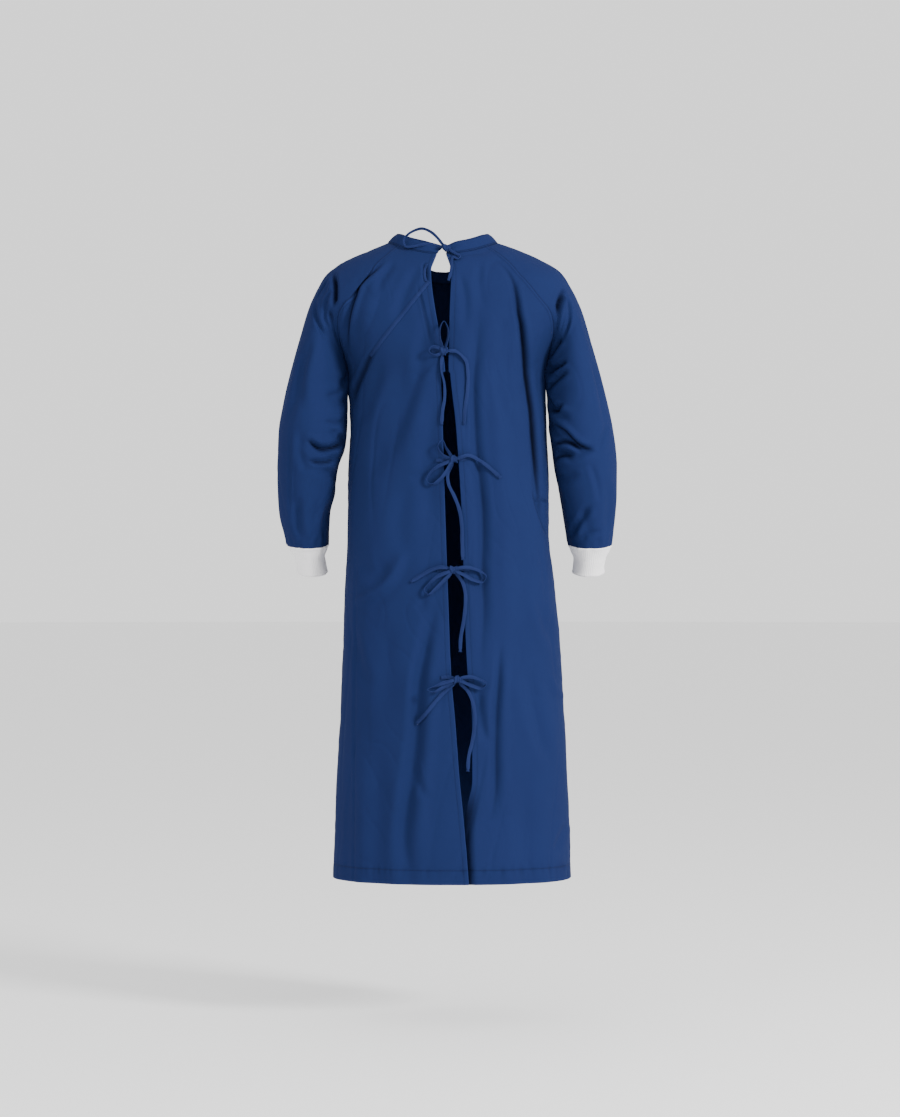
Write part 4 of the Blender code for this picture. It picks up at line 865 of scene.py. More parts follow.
# ---- the cut panels, creased and in place -----------------------------------------------------------------
Panel = namedtuple("Panel", "grid runs length outward pit start_side end_side shadow")
CUT = {}
FRONT_COLUMNS, SLEEVE_COLUMNS = 1.2, 1.4        # columns of these pieces, for one of a back panel


def cut_panels():
    """Grids of the five large panels, worked out once."""
    if CUT:
        return CUT
    cloth = settings("gown_cloth")
    down = yoke_rows(cloth.spacing)
    heights = body_heights(cloth.spacing, cloth.hem)
    pit = len(down) - 1
    dense = {
        "back_right": half_body(1, False, down, heights),
        "back_left": half_body(-1, False, down, heights)[:, ::-1],
        "front": np.concatenate([half_body(1, True, down, heights)[:, ::-1],
                                 half_body(-1, True, down, heights)[:, 1:]], axis=1),
        "sleeve_right": sleeve_rows(1, down, cloth.spacing),
        "sleeve_left": sleeve_rows(-1, down, cloth.spacing)[:, ::-1],
    }
    sides = {
        "back_right": (TURNED_EDGE, FELLED_SEAM, cloth.middle_columns),
        "back_left": (FELLED_SEAM, TURNED_EDGE, cloth.middle_columns),
        "front": (FELLED_SEAM, FELLED_SEAM, round(cloth.middle_columns * FRONT_COLUMNS)),
        "sleeve_right": (FELLED_SEAM, PLAIN_SIDE, round(cloth.middle_columns * SLEEVE_COLUMNS)),
        "sleeve_left": (PLAIN_SIDE, FELLED_SEAM, round(cloth.middle_columns * SLEEVE_COLUMNS)),
    }
    laid = {name: lay_columns(dense[name], *sides[name]) for name in dense}
    grids = [laid[name][0] for name in laid]
    ids = weld_ids(grids)
    outward = shared_outward(grids, ids)
    dips = [panel_depth(name, grid) for name, grid in zip(laid, grids)]
    depths = shared_mean([dip[0] for dip in dips], ids)
    points = [grid[..., :3] - out * (depth * cloth.fold)[..., None]
              for grid, out, depth in zip(grids, outward, depths)]
    outward = shared_outward(points, ids)
    for name, point, out, dip in zip(laid, points, outward, dips):
        _, runs, length = laid[name]
        CUT[name] = Panel(point, runs, length, out, pit, sides[name][0], sides[name][1], dip[1])
    return CUT


ARM_BACK = namedtuple("ArmBack", "start fade")(0.15, 0.45)     # where a sleeve counts as its back
YOKE_FADE = 0.05            # height over the underarm in which the back's creases run on into a sleeve
WRIST_GATHER = 0.040        # length of a sleeve that its cuff gathers


def panel_depth(name, grid):
    """Depth and painted shade of all creases on one panel."""
    x, _, z, turn = (grid[..., k] for k in range(4))
    points = grid[..., :3]
    soft = sum(wave.depth * ripples(points, wave.size, wave.seed, wave.upright) for wave in SWELLS)
    soft = np.stack([soft + wrinkles(points), 0 * soft])
    if name == "back_right":
        rolled = 1 - soft_step((x - read(EDGE, "right", z)) / HEM_LAP.reach)
        rolled = rolled * soft_step((HEM_LAP.top - z) / HEM_LAP.fade)
        # the rolled-in cloth dips and gets its painted shade
        soft += rolled * np.array([HEM_LAP.depth, HEM_LAP.dark])[:, None, None]
    if name.startswith("back"):
        return crease_depth(x, z, to_hem(BACK_CREASES)) + soft
    if name == "front":
        return crease_depth(x, z, to_hem(FRONT_CREASES)) + soft
    own = RIGHT_SLEEVE_CREASES if name == "sleeve_right" else LEFT_SLEEVE_CREASES
    own = [crease._replace(line=[(part * SLEEVE_TURN_SIZE / MM, height) for part, height in crease.line])
           for crease in own]
    depth = sum(crease_depth((turn + lap) * SLEEVE_TURN_SIZE, z, own) for lap in (-2, 0, 2))
    behind = soft_step((-np.sin(math.pi * turn) - ARM_BACK.start) / ARM_BACK.fade)
    on_yoke = soft_step((z - UNDERARM_Z) / YOKE_FADE)
    gathers = soft_step((WRIST_Z + WRIST_GATHER - z) / WRIST_GATHER)
    depth = depth + behind * (crease_depth(x, z, ARM_CREASES) + crease_depth(x, z, BACK_CREASES) * on_yoke)
    long_waves = ripples(points * [1, 1, 0.2], GATHERS.size, GATHERS.seed, GATHERS.upright)
    soft[0] += GATHERS.depth * gathers * long_waves
    return depth + soft


# ---- meshes --------------------------------------------------------------------------------------------
def show(name, data):
    """A new object in the scene."""
    item = bpy.data.objects.new(name, data)
    bpy.context.scene.collection.objects.link(item)
    return item


def quads(index):
    """The four corners of every cell in a grid of point numbers."""
    return np.stack([index[:-1, :-1], index[1:, :-1], index[1:, 1:], index[:-1, 1:]], axis=-1).reshape(-1, 4)


def new_object(name, points, faces, material):
    """A smooth mesh object with its place in its mesh."""
    mesh = bpy.data.meshes.new(name)
    mesh.from_pydata(points, [], faces)
    mesh.validate()
    mesh.shade_smooth()
    mesh.materials.append(material)
    return show(name, mesh)


def add_uv(item, uv):
    """A UV map in metres from one pair of numbers for each vertex."""
    mesh = item.data
    corners = np.zeros(len(mesh.loops), dtype=np.int64)
    mesh.loops.foreach_get("vertex_index", corners)
    mesh.uv_layers.new(name=UV_NAME).data.foreach_set("uv", uv[corners].astype(np.float32).ravel())


def add_number(item, name, values):
    """One number for each vertex, as a named attribute."""
    item.data.attributes.new(name, "FLOAT", "POINT").data.foreach_set("value", values.astype(np.float32))


def shell(name, outer, inner, material, uv, wear, groove, closed_from=None):
    """A closed thin wall between two grids of points, open only where the garment is.

    From row closed_from down, the last column is the first, as in a sleeve.
    """
    rows, columns = outer.shape[:2]
    count = rows * columns
    index = np.arange(count).reshape(rows, columns)
    if closed_from is not None:
        index[closed_from:, -1] = index[closed_from:, 0]
    front = quads(index)
    border = [index[0], index[-1, ::-1]]
    open_rows = slice(0, rows if closed_from is None else closed_from + 1)
    border += [index[open_rows, 0][::-1], index[open_rows, -1]]
    rims = [np.stack([line[1:], line[:-1], line[:-1] + count, line[1:] + count], axis=-1)[:, ::-1]
            for line in border]
    faces = np.concatenate([front, front[:, ::-1] + count, *rims])
    points = np.concatenate([outer.reshape(-1, 3), inner.reshape(-1, 3)])
    used, order = np.unique(faces, return_inverse=True)
    item = new_object(name, points[used], order.reshape(faces.shape).tolist(), material)
    add_uv(item, np.concatenate([uv.reshape(-1, 2)] * 2)[used])
    for label, values in (("wear", wear), ("groove", groove)):
        add_number(item, label, np.concatenate([values.ravel()] * 2)[used])
    return item


def wall_grids(grid, outward, height, wall):
    """Outer and inner points of a wall on a grid."""
    outer = grid + outward * height[..., None]
    return outer, outer - outward * wall[..., None]


TAPE_EDGE = 0.9             # share of a tape's half width beyond which it is worn, and painted paler as a highlight too
TAPE_GROOVE = 0.6           # how much painted shade lies along its line of stitching


def strip(name, centres, wide, deep, widths, thicks, material, closed=False):
    """A folded tape with a line of stitching, laid along its centre line, its stitching painted darker as shade
    and its edges paler as wear and highlight.
    """
    section = tape_section()
    across = section[:, 0][None, :, None] * (widths / 2)[:, None, None] * wide[:, None, :]
    high = section[:, 1][None, :, None] * (thicks / 2)[:, None, None] * deep[:, None, :]
    points = centres[:, None, :] + across + high
    rings, around = points.shape[:2]
    index = np.arange(rings * around).reshape(rings, around)
    if closed:
        index = np.concatenate([index, index[:1]])
    faces = quads(np.concatenate([index, index[:, :1]], axis=1)).tolist()
    if not closed:
        faces += [index[0].tolist(), index[-1, ::-1].tolist()]
    item = new_object(name, points.reshape(-1, 3), faces, material)
    recalculate(item)
    travel = travelled(centres)[:, None]
    uv = np.stack(np.broadcast_arrays(section[None, :, 0] * widths[:, None] / 2, travel), axis=-1)
    add_uv(item, uv.reshape(-1, 2))
    out, up = np.abs(section).T
    # paler edges: wear and a painted highlight; darker stitching: painted shade
    add_number(item, "wear", np.tile(out > TAPE_EDGE, rings))
    add_number(item, "groove", np.tile(TAPE_GROOVE * (up < 0.5) * (out < TAPE_EDGE), rings))
    return item


def tape_section():
    """Half widths and half heights round a folded tape's section, dipping in along its line of stitching."""
    top = [(-0.98, 0.80), (-0.93, 1.00), (-0.80, 0.95), (0.20, 1.00), (0.40, 1.00), (0.50, 0.35), (0.60, 1.00),
           (0.82, 0.95), (0.93, 1.00), (0.98, 0.80)]
    bottom = [(-x, -y) for x, y in top]
    return np.array([(-1.0, 0.0), *top, (1.0, 0.0), *bottom])


def recalculate(item):
    """Turn all faces outwards."""
    work = bmesh.new()
    work.from_mesh(item.data)
    bmesh.ops.recalc_face_normals(work, faces=work.faces)
    work.to_mesh(item.data)
    work.free()


def join(name, pieces):
    """One object from several, under a name of its own."""
    with bpy.context.temp_override(active_object=pieces[0], selected_editable_objects=pieces):
        bpy.ops.object.join()
    pieces[0].name = name
    pieces[0].data.name = name
    return pieces[0]


def settle(item, slot, *nodes):
    """Say which body a piece rides on and which solids it stands for; slot, naming its finish, is not used."""
    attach(item, BODY_NAME)
    if nodes:
        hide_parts(*nodes)
    return item


# ---- finishes ------------------------------------------------------------------------------------------
def add_node(tree, kind, values=(), **options):
    """A node with some options and inputs; an input takes a plain value or another node's output."""
    item = tree.nodes.new(kind)
    for name, value in options.items():
        setattr(item, name, value)
    for key, value in dict(values).items():
        if isinstance(value, bpy.types.NodeSocket):
            tree.links.new(value, item.inputs[key])
        else:
            item.inputs[key].default_value = value
    return item


def shade(colour, share):
    """A lighter or darker colour, with its alpha."""
    return (*(min(1.0, channel * share) for channel in colour), 1)


Finish = namedtuple("Finish", "roughness gloss sheen patches contrast pitch bump fuzz edge")
FINISHES = {
    "navy_cloth": Finish(0.86, 0.03, 0.06, 5.0, 0.11, 0.55, 0.00010, 0.00006, 1.30),
    "navy_tape": Finish(0.80, 0.05, 0.08, 30.0, 0.10, 0.70, 0.00014, 0.00006, 1.22),
    "white_rib": Finish(0.90, 0.20, 0.25, 40.0, 0.03, 1.10, 0.00016, 0.00010, 1.02),
    "thread": Finish(0.60, 0.10, 0.05, 200.0, 0.10, 0.40, 0.00005, 0.00002, 1.00),
}


GROOVE_SHADE = 0.10         # share of the colour left where the painted shade is full
BUMP_STRENGTH = 0.6


def finish(name, colour):
    """Woven or knitted cloth: mottled colour, yarns, fuzz, slightly paler worn edges (on the tapes also a painted
    highlight) and painted shade.
    """
    label = name + "_finish"
    ready = bpy.data.materials.get(label)
    if ready:
        return ready
    look = FINISHES[name]
    knitted = name == "white_rib"
    colour = tuple(colour)
    material = bpy.data.materials.new(label)
    material.use_nodes = True
    material.diffuse_color = shade(colour, 1)
    tree = material.node_tree
    places = add_node(tree, "ShaderNodeTexCoord").outputs["Object"]
    threads = add_node(tree, "ShaderNodeUVMap", uv_map=UV_NAME).outputs["UV"]

    def blend(share, first, second):
        """One colour passing into another."""
        return add_node(tree, "ShaderNodeMix", {0: share, 6: first, 7: second}, data_type="RGBA").outputs[2]

    patches = add_node(tree, "ShaderNodeTexNoise",
                       {"Vector": places, "Scale": look.patches, "Detail": 4.0, "Roughness": 0.62})
    tone = blend(patches.outputs["Fac"], shade(colour, 1 - look.contrast), shade(colour, 1 + look.contrast))
    # paler where worn, on the tapes also a painted highlight, and darker where painted shade lies
    for attribute, share in (("wear", look.edge), ("groove", GROOVE_SHADE)):
        amount = add_node(tree, "ShaderNodeAttribute", attribute_name=attribute, attribute_type="GEOMETRY")
        tone = blend(amount.outputs["Fac"], tone, shade(colour, share))

    period = math.pi / 10 / (look.pitch * MM)
    waves = [add_node(tree, "ShaderNodeTexWave",
                      {"Vector": threads, "Scale": period, "Distortion": 0.6, "Detail": 1.0},
                      bands_direction=direction).outputs["Fac"] for direction in ("X", "Y")]
    woven = add_node(tree, "ShaderNodeMath", dict(enumerate(waves)),
                     operation="MULTIPLY" if knitted else "MAXIMUM")
    fuzz = add_node(tree, "ShaderNodeTexNoise", {"Vector": places, "Scale": 900.0, "Detail": 2.0})
    fuzz_bump = add_node(tree, "ShaderNodeBump",
                         {"Strength": BUMP_STRENGTH, "Distance": look.fuzz, "Height": fuzz.outputs["Fac"]})
    yarn_bump = add_node(tree, "ShaderNodeBump",
                         {"Strength": BUMP_STRENGTH, "Distance": look.bump, "Height": woven.outputs[0],
                          "Normal": fuzz_bump.outputs["Normal"]})

    shader = tree.nodes["Principled BSDF"].inputs
    for label, value in {"Roughness": look.roughness, "Specular IOR Level": look.gloss,
                         "Sheen Weight": look.sheen, "Sheen Roughness": 0.55,
                         "Sheen Tint": shade(colour, 1 if knitted else 2.2)}.items():
        shader[label].default_value = value
    tree.links.new(tone, shader["Base Color"])
    tree.links.new(yarn_bump.outputs["Normal"], shader["Normal"])
    return material


# ---- the large panels ----------------------------------------------------------------------------------
HEM = [
    Relief(0.0, -0.45, 0.3), Relief(0.8, 0.00, 1.5), Relief(4.0, 0.10, 1.6), Relief(25.0, 0.10, 1.6),
    Relief(28.0, -0.30, 1.2), Relief(29.6, 0.00, 0.8), Relief(34.0, 0.00, 0.8),
]
Cut = namedtuple("Cut", "node width length area held")
CUTS = {
    "back_right": Cut("back_right_panel", 0.36, 1.30, 0.32, "draped"),
    "back_left": Cut("back_left_panel", 0.36, 1.30, 0.32, "draped"),
    "front": Cut("front_panel", 0.66, 1.26, 0.70, "draped"),
    "sleeve_right": Cut("sleeve_right", 0.52, 0.66, 0.22, "draped"),
    "sleeve_left": Cut("sleeve_left", 0.52, 0.66, 0.22, "draped"),
}
CUFF_CUT = Cut("cuff", 0.26, 0.058, 0.0142, "stretched")
SURFACES = {}

SOFT_ROWS = 5.0             # rows below the underarm over which a sleeve's seam comes and the front's goes
EDGE_WEAR = 2.2 * MM        # how far in from a turned edge the cloth is worn
SEAM_WEAR = namedtuple("SeamWear", "share middle half")(0.35, 4.2 * MM, 3.0 * MM)
PUCKER = namedtuple("Pucker", "height half")(0.35 * MM, 4.5)        # half widths here are in millimetres
STITCH_HALF = 0.9           # half width of the painted shade line along stitches, in millimetres
EDGE_DARK, STITCH_DARK, SEAM_DARK = 0.20, 0.34, 0.48    # painted shade for the light lost at an edge's stitches, a seam's, a seam
HEM_STITCH = 28.0           # where the hem's table has its stitches, in millimetres over the edge
HEM_STITCH_HALF = 1.1
HEM_WEAR = namedtuple("HemWear", "share reach")(0.8, 2.5 * MM)
HEM_LIP, HEM_LIP_WALL = 0.5 * MM, 0.4       # the last of the hem, and the share of its wall left there
# the last number of the hem's puckers is painted shade in their troughs
HEM_PUCKER = namedtuple("HemPucker", "height middle half below dark")(1.1 * MM, 27, 9, 0.4, 0.22)


def stitched_relief(panel, name):
    """Height and wall of the cloth on one panel from its edges, seams and hem, its worn places, and the painted
    shade along its creases, seams, stitches and hem puckers.
    """
    hem = settings("gown_cloth").hem
    rows = np.arange(len(panel.grid))[:, None]
    share = soft_step((rows - panel.pit) / SOFT_ROWS)
    if name == "front":
        share = 1 - share
    elif not name.startswith("sleeve"):
        share = np.ones_like(share)
    height, wall = np.zeros_like(panel.runs), np.full_like(panel.runs, CLOTH_WALL)
    # painted shade starts from the creases' own
    worn, groove = np.zeros_like(height), panel.shadow.copy()
    for side, away in ((panel.start_side, panel.runs), (panel.end_side, panel.length - panel.runs)):
        height += relief(side, "height", away) * share
        wall += (relief(side, "wall", away) - CLOTH_WALL) * share
        if side is TURNED_EDGE:
            worn += np.clip(1 - away / EDGE_WEAR, 0, 1)
        if side is FELLED_SEAM:
            worn += SEAM_WEAR.share * bell((away - SEAM_WEAR.middle) / SEAM_WEAR.half) * share
            # painted shade along the seam line
            groove += SEAM_DARK * bell(away / MM / STITCH_HALF) * share
        for line in sewn_lines(side):
            from_line = away / MM - line
            near = bell(from_line / PUCKER.half) * share
            height += PUCKER.height * near * ripples(panel.grid, 0.013, 21)
            # painted shade along each line of stitching
            dark = EDGE_DARK if side is TURNED_EDGE else STITCH_DARK
            groove += dark * bell(from_line / STITCH_HALF) * share
    if not name.startswith("sleeve"):
        above = np.maximum((panel.grid[..., 2] - HEM_Z) * HEM_STITCH * MM / hem, 0)
        height += relief(HEM, "height", above)
        wall = np.maximum(wall, relief(HEM, "wall", above)) * np.where(above < HEM_LIP, HEM_LIP_WALL, 1.0)
        worn += HEM_WEAR.share * np.clip(1 - above / HEM_WEAR.reach, 0, 1)
        near = bell((above / MM - HEM_PUCKER.middle) / HEM_PUCKER.half)
        near += HEM_PUCKER.below * (above < HEM_PUCKER.middle * MM)
        puckers = ripples(panel.grid * [1, 1, 0.3], 0.016, 23, 0.6)
        height += HEM_PUCKER.height * near * puckers
        # painted shade in the troughs of the hem's puckers and along its stitching
        groove += HEM_PUCKER.dark * near * np.clip(-puckers, 0, 1)
        groove += STITCH_DARK * bell((above / MM - HEM_STITCH) / HEM_STITCH_HALF)
    return height, wall, np.clip(worn, 0, 1), np.clip(groove, 0, 1)


def sewn_lines(side):
    """How far a side's lines of stitching are from it, in millimetres."""
    return (EDGE_STITCH,) if side is TURNED_EDGE else SEAM_STITCHES if side is FELLED_SEAM else ()


def cloth_uv(panel):
    """Places on the flat cloth, in metres."""
    steps = np.linalg.norm(np.diff(panel.grid, axis=0), axis=-1).mean(axis=1)
    down = np.concatenate([[0], np.cumsum(steps)])
    return np.stack(np.broadcast_arrays(panel.runs - panel.length / 2, -down[:, None]), axis=-1)


def make_panel(name, material):
    """One large panel as a thin closed wall; its outer surface is kept for what lies on it."""
    panel = cut_panels()[name]
    height, wall, worn, groove = stitched_relief(panel, name)
    outer, inner = wall_grids(panel.grid, panel.outward, height, wall)
    closed_from = panel.pit if name.startswith("sleeve") else None
    if closed_from is not None:
        for points in (outer, inner):
            points[closed_from:, -1] = points[closed_from:, 0]
    SURFACES[name] = outer
    item = shell(name + "_cloth", outer, inner, material, cloth_uv(panel), worn, groove, closed_from)
    return settle(item, "navy_cloth", CUTS[name].node)


# ---- neckband and cuffs --------------------------------------------------------------------------------
BAND_SPACING = 2.0 * MM
Across = namedtuple("Across", "share height wall")
BAND_SECTION = [
    Across(0.00, -0.20, 1.2), Across(0.04, 0.35, 1.9), Across(0.09, -0.05, 1.7), Across(0.15, 0.45, 2.1),
    Across(0.30, 0.60, 2.2), Across(0.45, 0.62, 2.2), Across(0.60, 0.60, 2.2), Across(0.75, 0.50, 2.1),
    Across(0.85, 0.40, 2.0), Across(0.90, -0.05, 1.7), Across(0.95, 0.30, 1.8), Across(0.985, 0.10, 1.4),
    Across(1.00, -0.50, 0.5),
]


def neck_line():
    """The neck seam from the left centre-back edge round to the right one, in even steps."""
    cut = cut_panels()
    line = np.concatenate([cut[name].grid[0, ::-1][:-1] for name in
                           ("back_left", "sleeve_left", "front", "sleeve_right")]
                          + [cut["back_right"].grid[0, ::-1]])
    return even_points(line, round(travelled(line)[-1] / BAND_SPACING))


BandPull = namedtuple("BandPull", "half reach drop drop_half")
BAND_PULL = BandPull(0.012, 0.05, 0.009, 0.016)         # how its tapes draw the band's ends in and down
# folds that fan out from the band's ends
GATHER = namedtuple("Gather", "half depth folds sway step")(0.050, 1.6 * MM, 2.4, 0.5, 0.017)
BAND_WAVES, BAND_BULGE = 0.7 * MM, 1.0 * MM
BAND_STITCHES = (0.09, 0.90)            # shares of the band's height
BAND_CREST, BAND_CREST_HALF = 0.97, 0.06
# painted shade along the band's stitching and at its foot, with the half widths of its lines
BAND_GROOVE, BAND_GROOVE_HALF, BAND_FOOT_HALF = 0.50, 0.03, 0.02
BAND_END_WALL = 0.6


def make_neckband(material):
    """The doubled band round the neck, gathered where its tapes pull its ends together."""
    neck, places = neck_line()
    centre = np.array([(YOKE[0].left + YOKE[0].right) / 2, 0.0])
    flat = neck[:, :2] - centre
    angle = np.degrees(np.arctan2(np.abs(flat[:, 0]), -flat[:, 1]))
    top = neck.copy()
    top[:, :2] -= unit(flat) * read(BAND_TOP, "lean", angle)[:, None]
    top[:, 2] += read(BAND_TOP, "rise", angle)
    from_end = np.minimum(places, places[-1] - places)
    target = np.where(places < places[-1] / 2, BAND_END.left, BAND_END.right)
    top[:, 0] += (target - top[:, 0]) * bell(from_end / BAND_PULL.half) * (from_end < BAND_PULL.reach)
    top[:, 2] -= BAND_PULL.drop * bell(from_end / BAND_PULL.drop_half)
    shares, heights, walls = np.array(BAND_SECTION)[::-1].T
    bulge = BAND_BULGE * np.sin(math.pi * shares)
    grid = neck + (top - neck) * shares[:, None, None] + np.array([0, 0, 1.0]) * bulge[:, None, None]
    grid = grid[:, ::-1]
    from_end, places = from_end[::-1], places[::-1]
    outward = shared_outward([grid], weld_ids([grid]))[0]
    middle = np.sin(math.pi * shares)[:, None]
    fan = np.sin(2 * math.pi * (GATHER.folds * shares[:, None] + GATHER.sway * np.sin(places / GATHER.step)))
    lift = BAND_WAVES * ripples(grid, 0.026, 31, 1.0) * middle
    lift -= GATHER.depth * bell(from_end / GATHER.half) * fan * middle ** 0.5
    height = heights[:, None] * MM + lift
    whole = np.ones_like(height)
    wall = walls[:, None] * MM * whole
    wall[:, [0, -1]] *= BAND_END_WALL
    outer, inner = wall_grids(grid, outward, height, wall)
    SURFACES["neckband"] = outer
    worn = np.clip(1 - np.abs(shares - BAND_CREST)[:, None] / BAND_CREST_HALF, 0, 1) * whole
    uv = np.stack(np.broadcast_arrays(places[None, :], shares[:, None] * BAND_HEIGHT), axis=-1)
    # painted shade along the band's two lines of stitching and at its foot
    groove = sum(bell((shares - line) / BAND_GROOVE_HALF) for line in BAND_STITCHES)
    groove = BAND_GROOVE * (groove + bell(shares / BAND_FOOT_HALF))[:, None] * whole
    item = shell("neckband_cloth", outer, inner, material, uv, worn, np.clip(groove, 0, 1))
    return settle(item, "navy_cloth", "neckband")


CUFF_ROWS = 30
RIB_POINTS = 6
WRIST_SMOOTHING = 14        # rounds of smoothing that take the sleeve's gathers out of a cuff
WRIST_FADE = 0.010          # length of the cuff in which they go
Ring = namedtuple("Ring", "height at half")
CUFF_ROLL = Ring(0.9 * MM, 2.2 * MM, 2.4 * MM)          # the rolled lower edge
CUFF_SEAM = Ring(0.8 * MM, 2.5 * MM, 2.0 * MM)          # the seam to the sleeve
CUFF_SAG = 1.3 * MM
CUFF_LIP = 0.1 * MM         # the last row, drawn in and thinned
CUFF_LIP_IN, CUFF_LIP_WALL = 0.8 * MM, 0.35


def cuff_rings(side):
    """Rings of a cuff, from its sleeve's last ring down."""
    word = SIDES[side]
    cuffs = settings("gown_cuffs")
    wrist = cut_panels()["sleeve_" + word].grid[-1]
    wrist = np.concatenate([wrist[:-1], wrist[:1]])
    smooth = wrist.copy()
    for _ in range(WRIST_SMOOTHING):
        inner = smooth[:-1]
        inner = (np.roll(inner, 1, axis=0) + inner + np.roll(inner, -1, axis=0)) / 3
        smooth = np.concatenate([inner, inner[:1]])
    middle = smooth[:-1].mean(axis=0)
    count = cuffs.ribs * RIB_POINTS
    rings = []
    for share in np.linspace(0, 1, CUFF_ROWS + 1):
        drop = share * CUFF[-1].drop
        line = wrist + (smooth - wrist) * soft_step(drop / WRIST_FADE)
        ring = (line - middle) * [read(CUFF, "width", drop), read(CUFF, "depth", drop), 1.0]
        ring = middle + ring + [read(CUFF, "shift_" + word, drop), read(CUFF, "forward", drop), -drop]
        rings.append(even_points(ring, count)[0])
    return np.array(rings)


def make_cuff(side, material, tree):
    """A white knitted cuff: smooth tube, rolled lower edge, and ribs from the nodes."""
    word = SIDES[side]
    cuffs = settings("gown_cuffs")
    grid = cuff_rings(side)
    drop = np.linspace(0, CUFF[-1].drop, CUFF_ROWS + 1)[:, None]
    outward = shared_outward([grid], weld_ids([grid]))[0]
    left = CUFF[-1].drop - drop
    height = CUFF_SAG * ripples(grid, 0.045, 41, 1.2) * soft_step(drop / 0.012) * soft_step(left / 0.006)
    for ring, place in ((CUFF_ROLL, left), (CUFF_SEAM, drop)):
        height += ring.height * bell((place - ring.at) / ring.half)
    height -= CUFF_LIP_IN * (left < CUFF_LIP)
    whole = np.ones_like(height)
    wall = cuffs.wall * np.where(left < CUFF_LIP, CUFF_LIP_WALL, 1.0) * whole
    outer, inner = wall_grids(grid, outward, height, wall)
    columns = grid.shape[1]
    uv = np.stack(np.broadcast_arrays(np.linspace(0, CUFF_CUT.width, columns)[None, :], -drop), axis=-1)
    base = shell("cuff_" + word + "_base", outer, inner, material, uv, 0 * height, 0 * height, closed_from=0)
    furrow = soft_step(drop / 0.007) * soft_step(left / 0.004 + 0.25) * whole
    phase = np.arange(columns) / RIB_POINTS * whole
    index = np.arange(grid.shape[0] * columns).reshape(grid.shape[:2])
    index[:, -1] = index[:, 0]
    used = np.unique(np.concatenate([index.ravel(), index.ravel() + index.size]))
    for label, outside, inside in (("furrow", furrow, 0 * furrow), ("phase", phase, phase)):
        add_number(base, label, np.concatenate([outside.ravel(), inside.ravel()])[used])
    item = from_nodes("cuff_" + word + "_knit", base, tree, {"Depth": cuffs.rib_depth, "Material": material})
    return settle(item, "white_rib", "cuff_" + word)


# ---- geometry nodes ------------------------------------------------------------------------------------
def new_tree(name, inputs):
    """An empty node tree with a mesh in, a mesh out and named inputs."""
    tree = bpy.data.node_groups.new(name, "GeometryNodeTree")
    for way in ("INPUT", "OUTPUT"):
        tree.interface.new_socket("Geometry", in_out=way, socket_type="NodeSocketGeometry")
    for label, kind in inputs.items():
        tree.interface.new_socket(label, in_out="INPUT", socket_type="NodeSocket" + kind)
    return tree, tree.nodes.new("NodeGroupInput"), tree.nodes.new("NodeGroupOutput")


def end_tree(tree, result, start, end):
    """Realize Instances and Set Material, which every tree ends in."""
    real = add_node(tree, "GeometryNodeRealizeInstances", {"Geometry": result})
    painted = add_node(tree, "GeometryNodeSetMaterial",
                       {"Geometry": real.outputs["Geometry"], "Material": start.outputs["Material"]})
    tree.links.new(painted.outputs["Geometry"], end.inputs["Geometry"])


def rib_tree():
    """Presses a furrow between every two ribs of a knitted tube."""
    tree, start, end = new_tree("knitted_ribs", {"Depth": "Float", "Material": "Material"})

    def attribute(name):
        item = add_node(tree, "GeometryNodeInputNamedAttribute", {"Name": name}, data_type="FLOAT")
        return item.outputs["Attribute"]

    def maths(operation, *values):
        return add_node(tree, "ShaderNodeMath", dict(enumerate(values)), operation=operation).outputs[0]

    turn = maths("SINE", maths("MULTIPLY", attribute("phase"), math.pi))
    valley = maths("POWER", maths("SUBTRACT", 1.0, maths("ABSOLUTE", turn)), 1.6)
    depth = maths("MULTIPLY", maths("MULTIPLY", valley, attribute("furrow")), start.outputs["Depth"])
    normal = add_node(tree, "GeometryNodeInputNormal").outputs["Normal"]
    offset = add_node(tree, "ShaderNodeVectorMath", {0: normal, "Scale": maths("MULTIPLY", depth, -1.0)},
                      operation="SCALE")
    moved = add_node(tree, "GeometryNodeSetPosition",
                     {"Geometry": start.outputs["Geometry"], "Offset": offset.outputs["Vector"]})
    end_tree(tree, moved.outputs["Geometry"], start, end)
    return tree


def stitch_tree():
    """Lays a row of thread stitches along every line of a mesh of edges."""
    tree, start, end = new_tree("stitches", {"Stitch": "Float", "Gap": "Float", "Thickness": "Float",
                                             "Material": "Material"})
    given = start.outputs
    pitch = add_node(tree, "ShaderNodeMath", {0: given["Stitch"], 1: given["Gap"]}, operation="ADD")
    lines = add_node(tree, "GeometryNodeMeshToCurve", {"Mesh": given["Geometry"]})
    even = add_node(tree, "GeometryNodeResampleCurve",
                    {"Curve": lines.outputs["Curve"], "Length": pitch.outputs[0]}, mode="LENGTH")
    spindle = add_node(tree, "GeometryNodeMeshUVSphere", {"Segments": 6, "Rings": 4, "Radius": 0.5})
    size = add_node(tree, "ShaderNodeCombineXYZ",
                    {"X": given["Thickness"], "Y": given["Thickness"], "Z": given["Stitch"]})
    thread = add_node(tree, "GeometryNodeTransform",
                      {"Geometry": spindle.outputs["Mesh"], "Scale": size.outputs["Vector"]})
    tangent = add_node(tree, "GeometryNodeInputTangent").outputs["Tangent"]
    heading = add_node(tree, "FunctionNodeAlignRotationToVector", {"Vector": tangent}, axis="Z")
    placed = add_node(tree, "GeometryNodeInstanceOnPoints",
                      {"Points": even.outputs["Curve"], "Instance": thread.outputs["Geometry"],
                       "Rotation": heading.outputs["Rotation"]})
    end_tree(tree, placed.outputs["Instances"], start, end)
    return tree


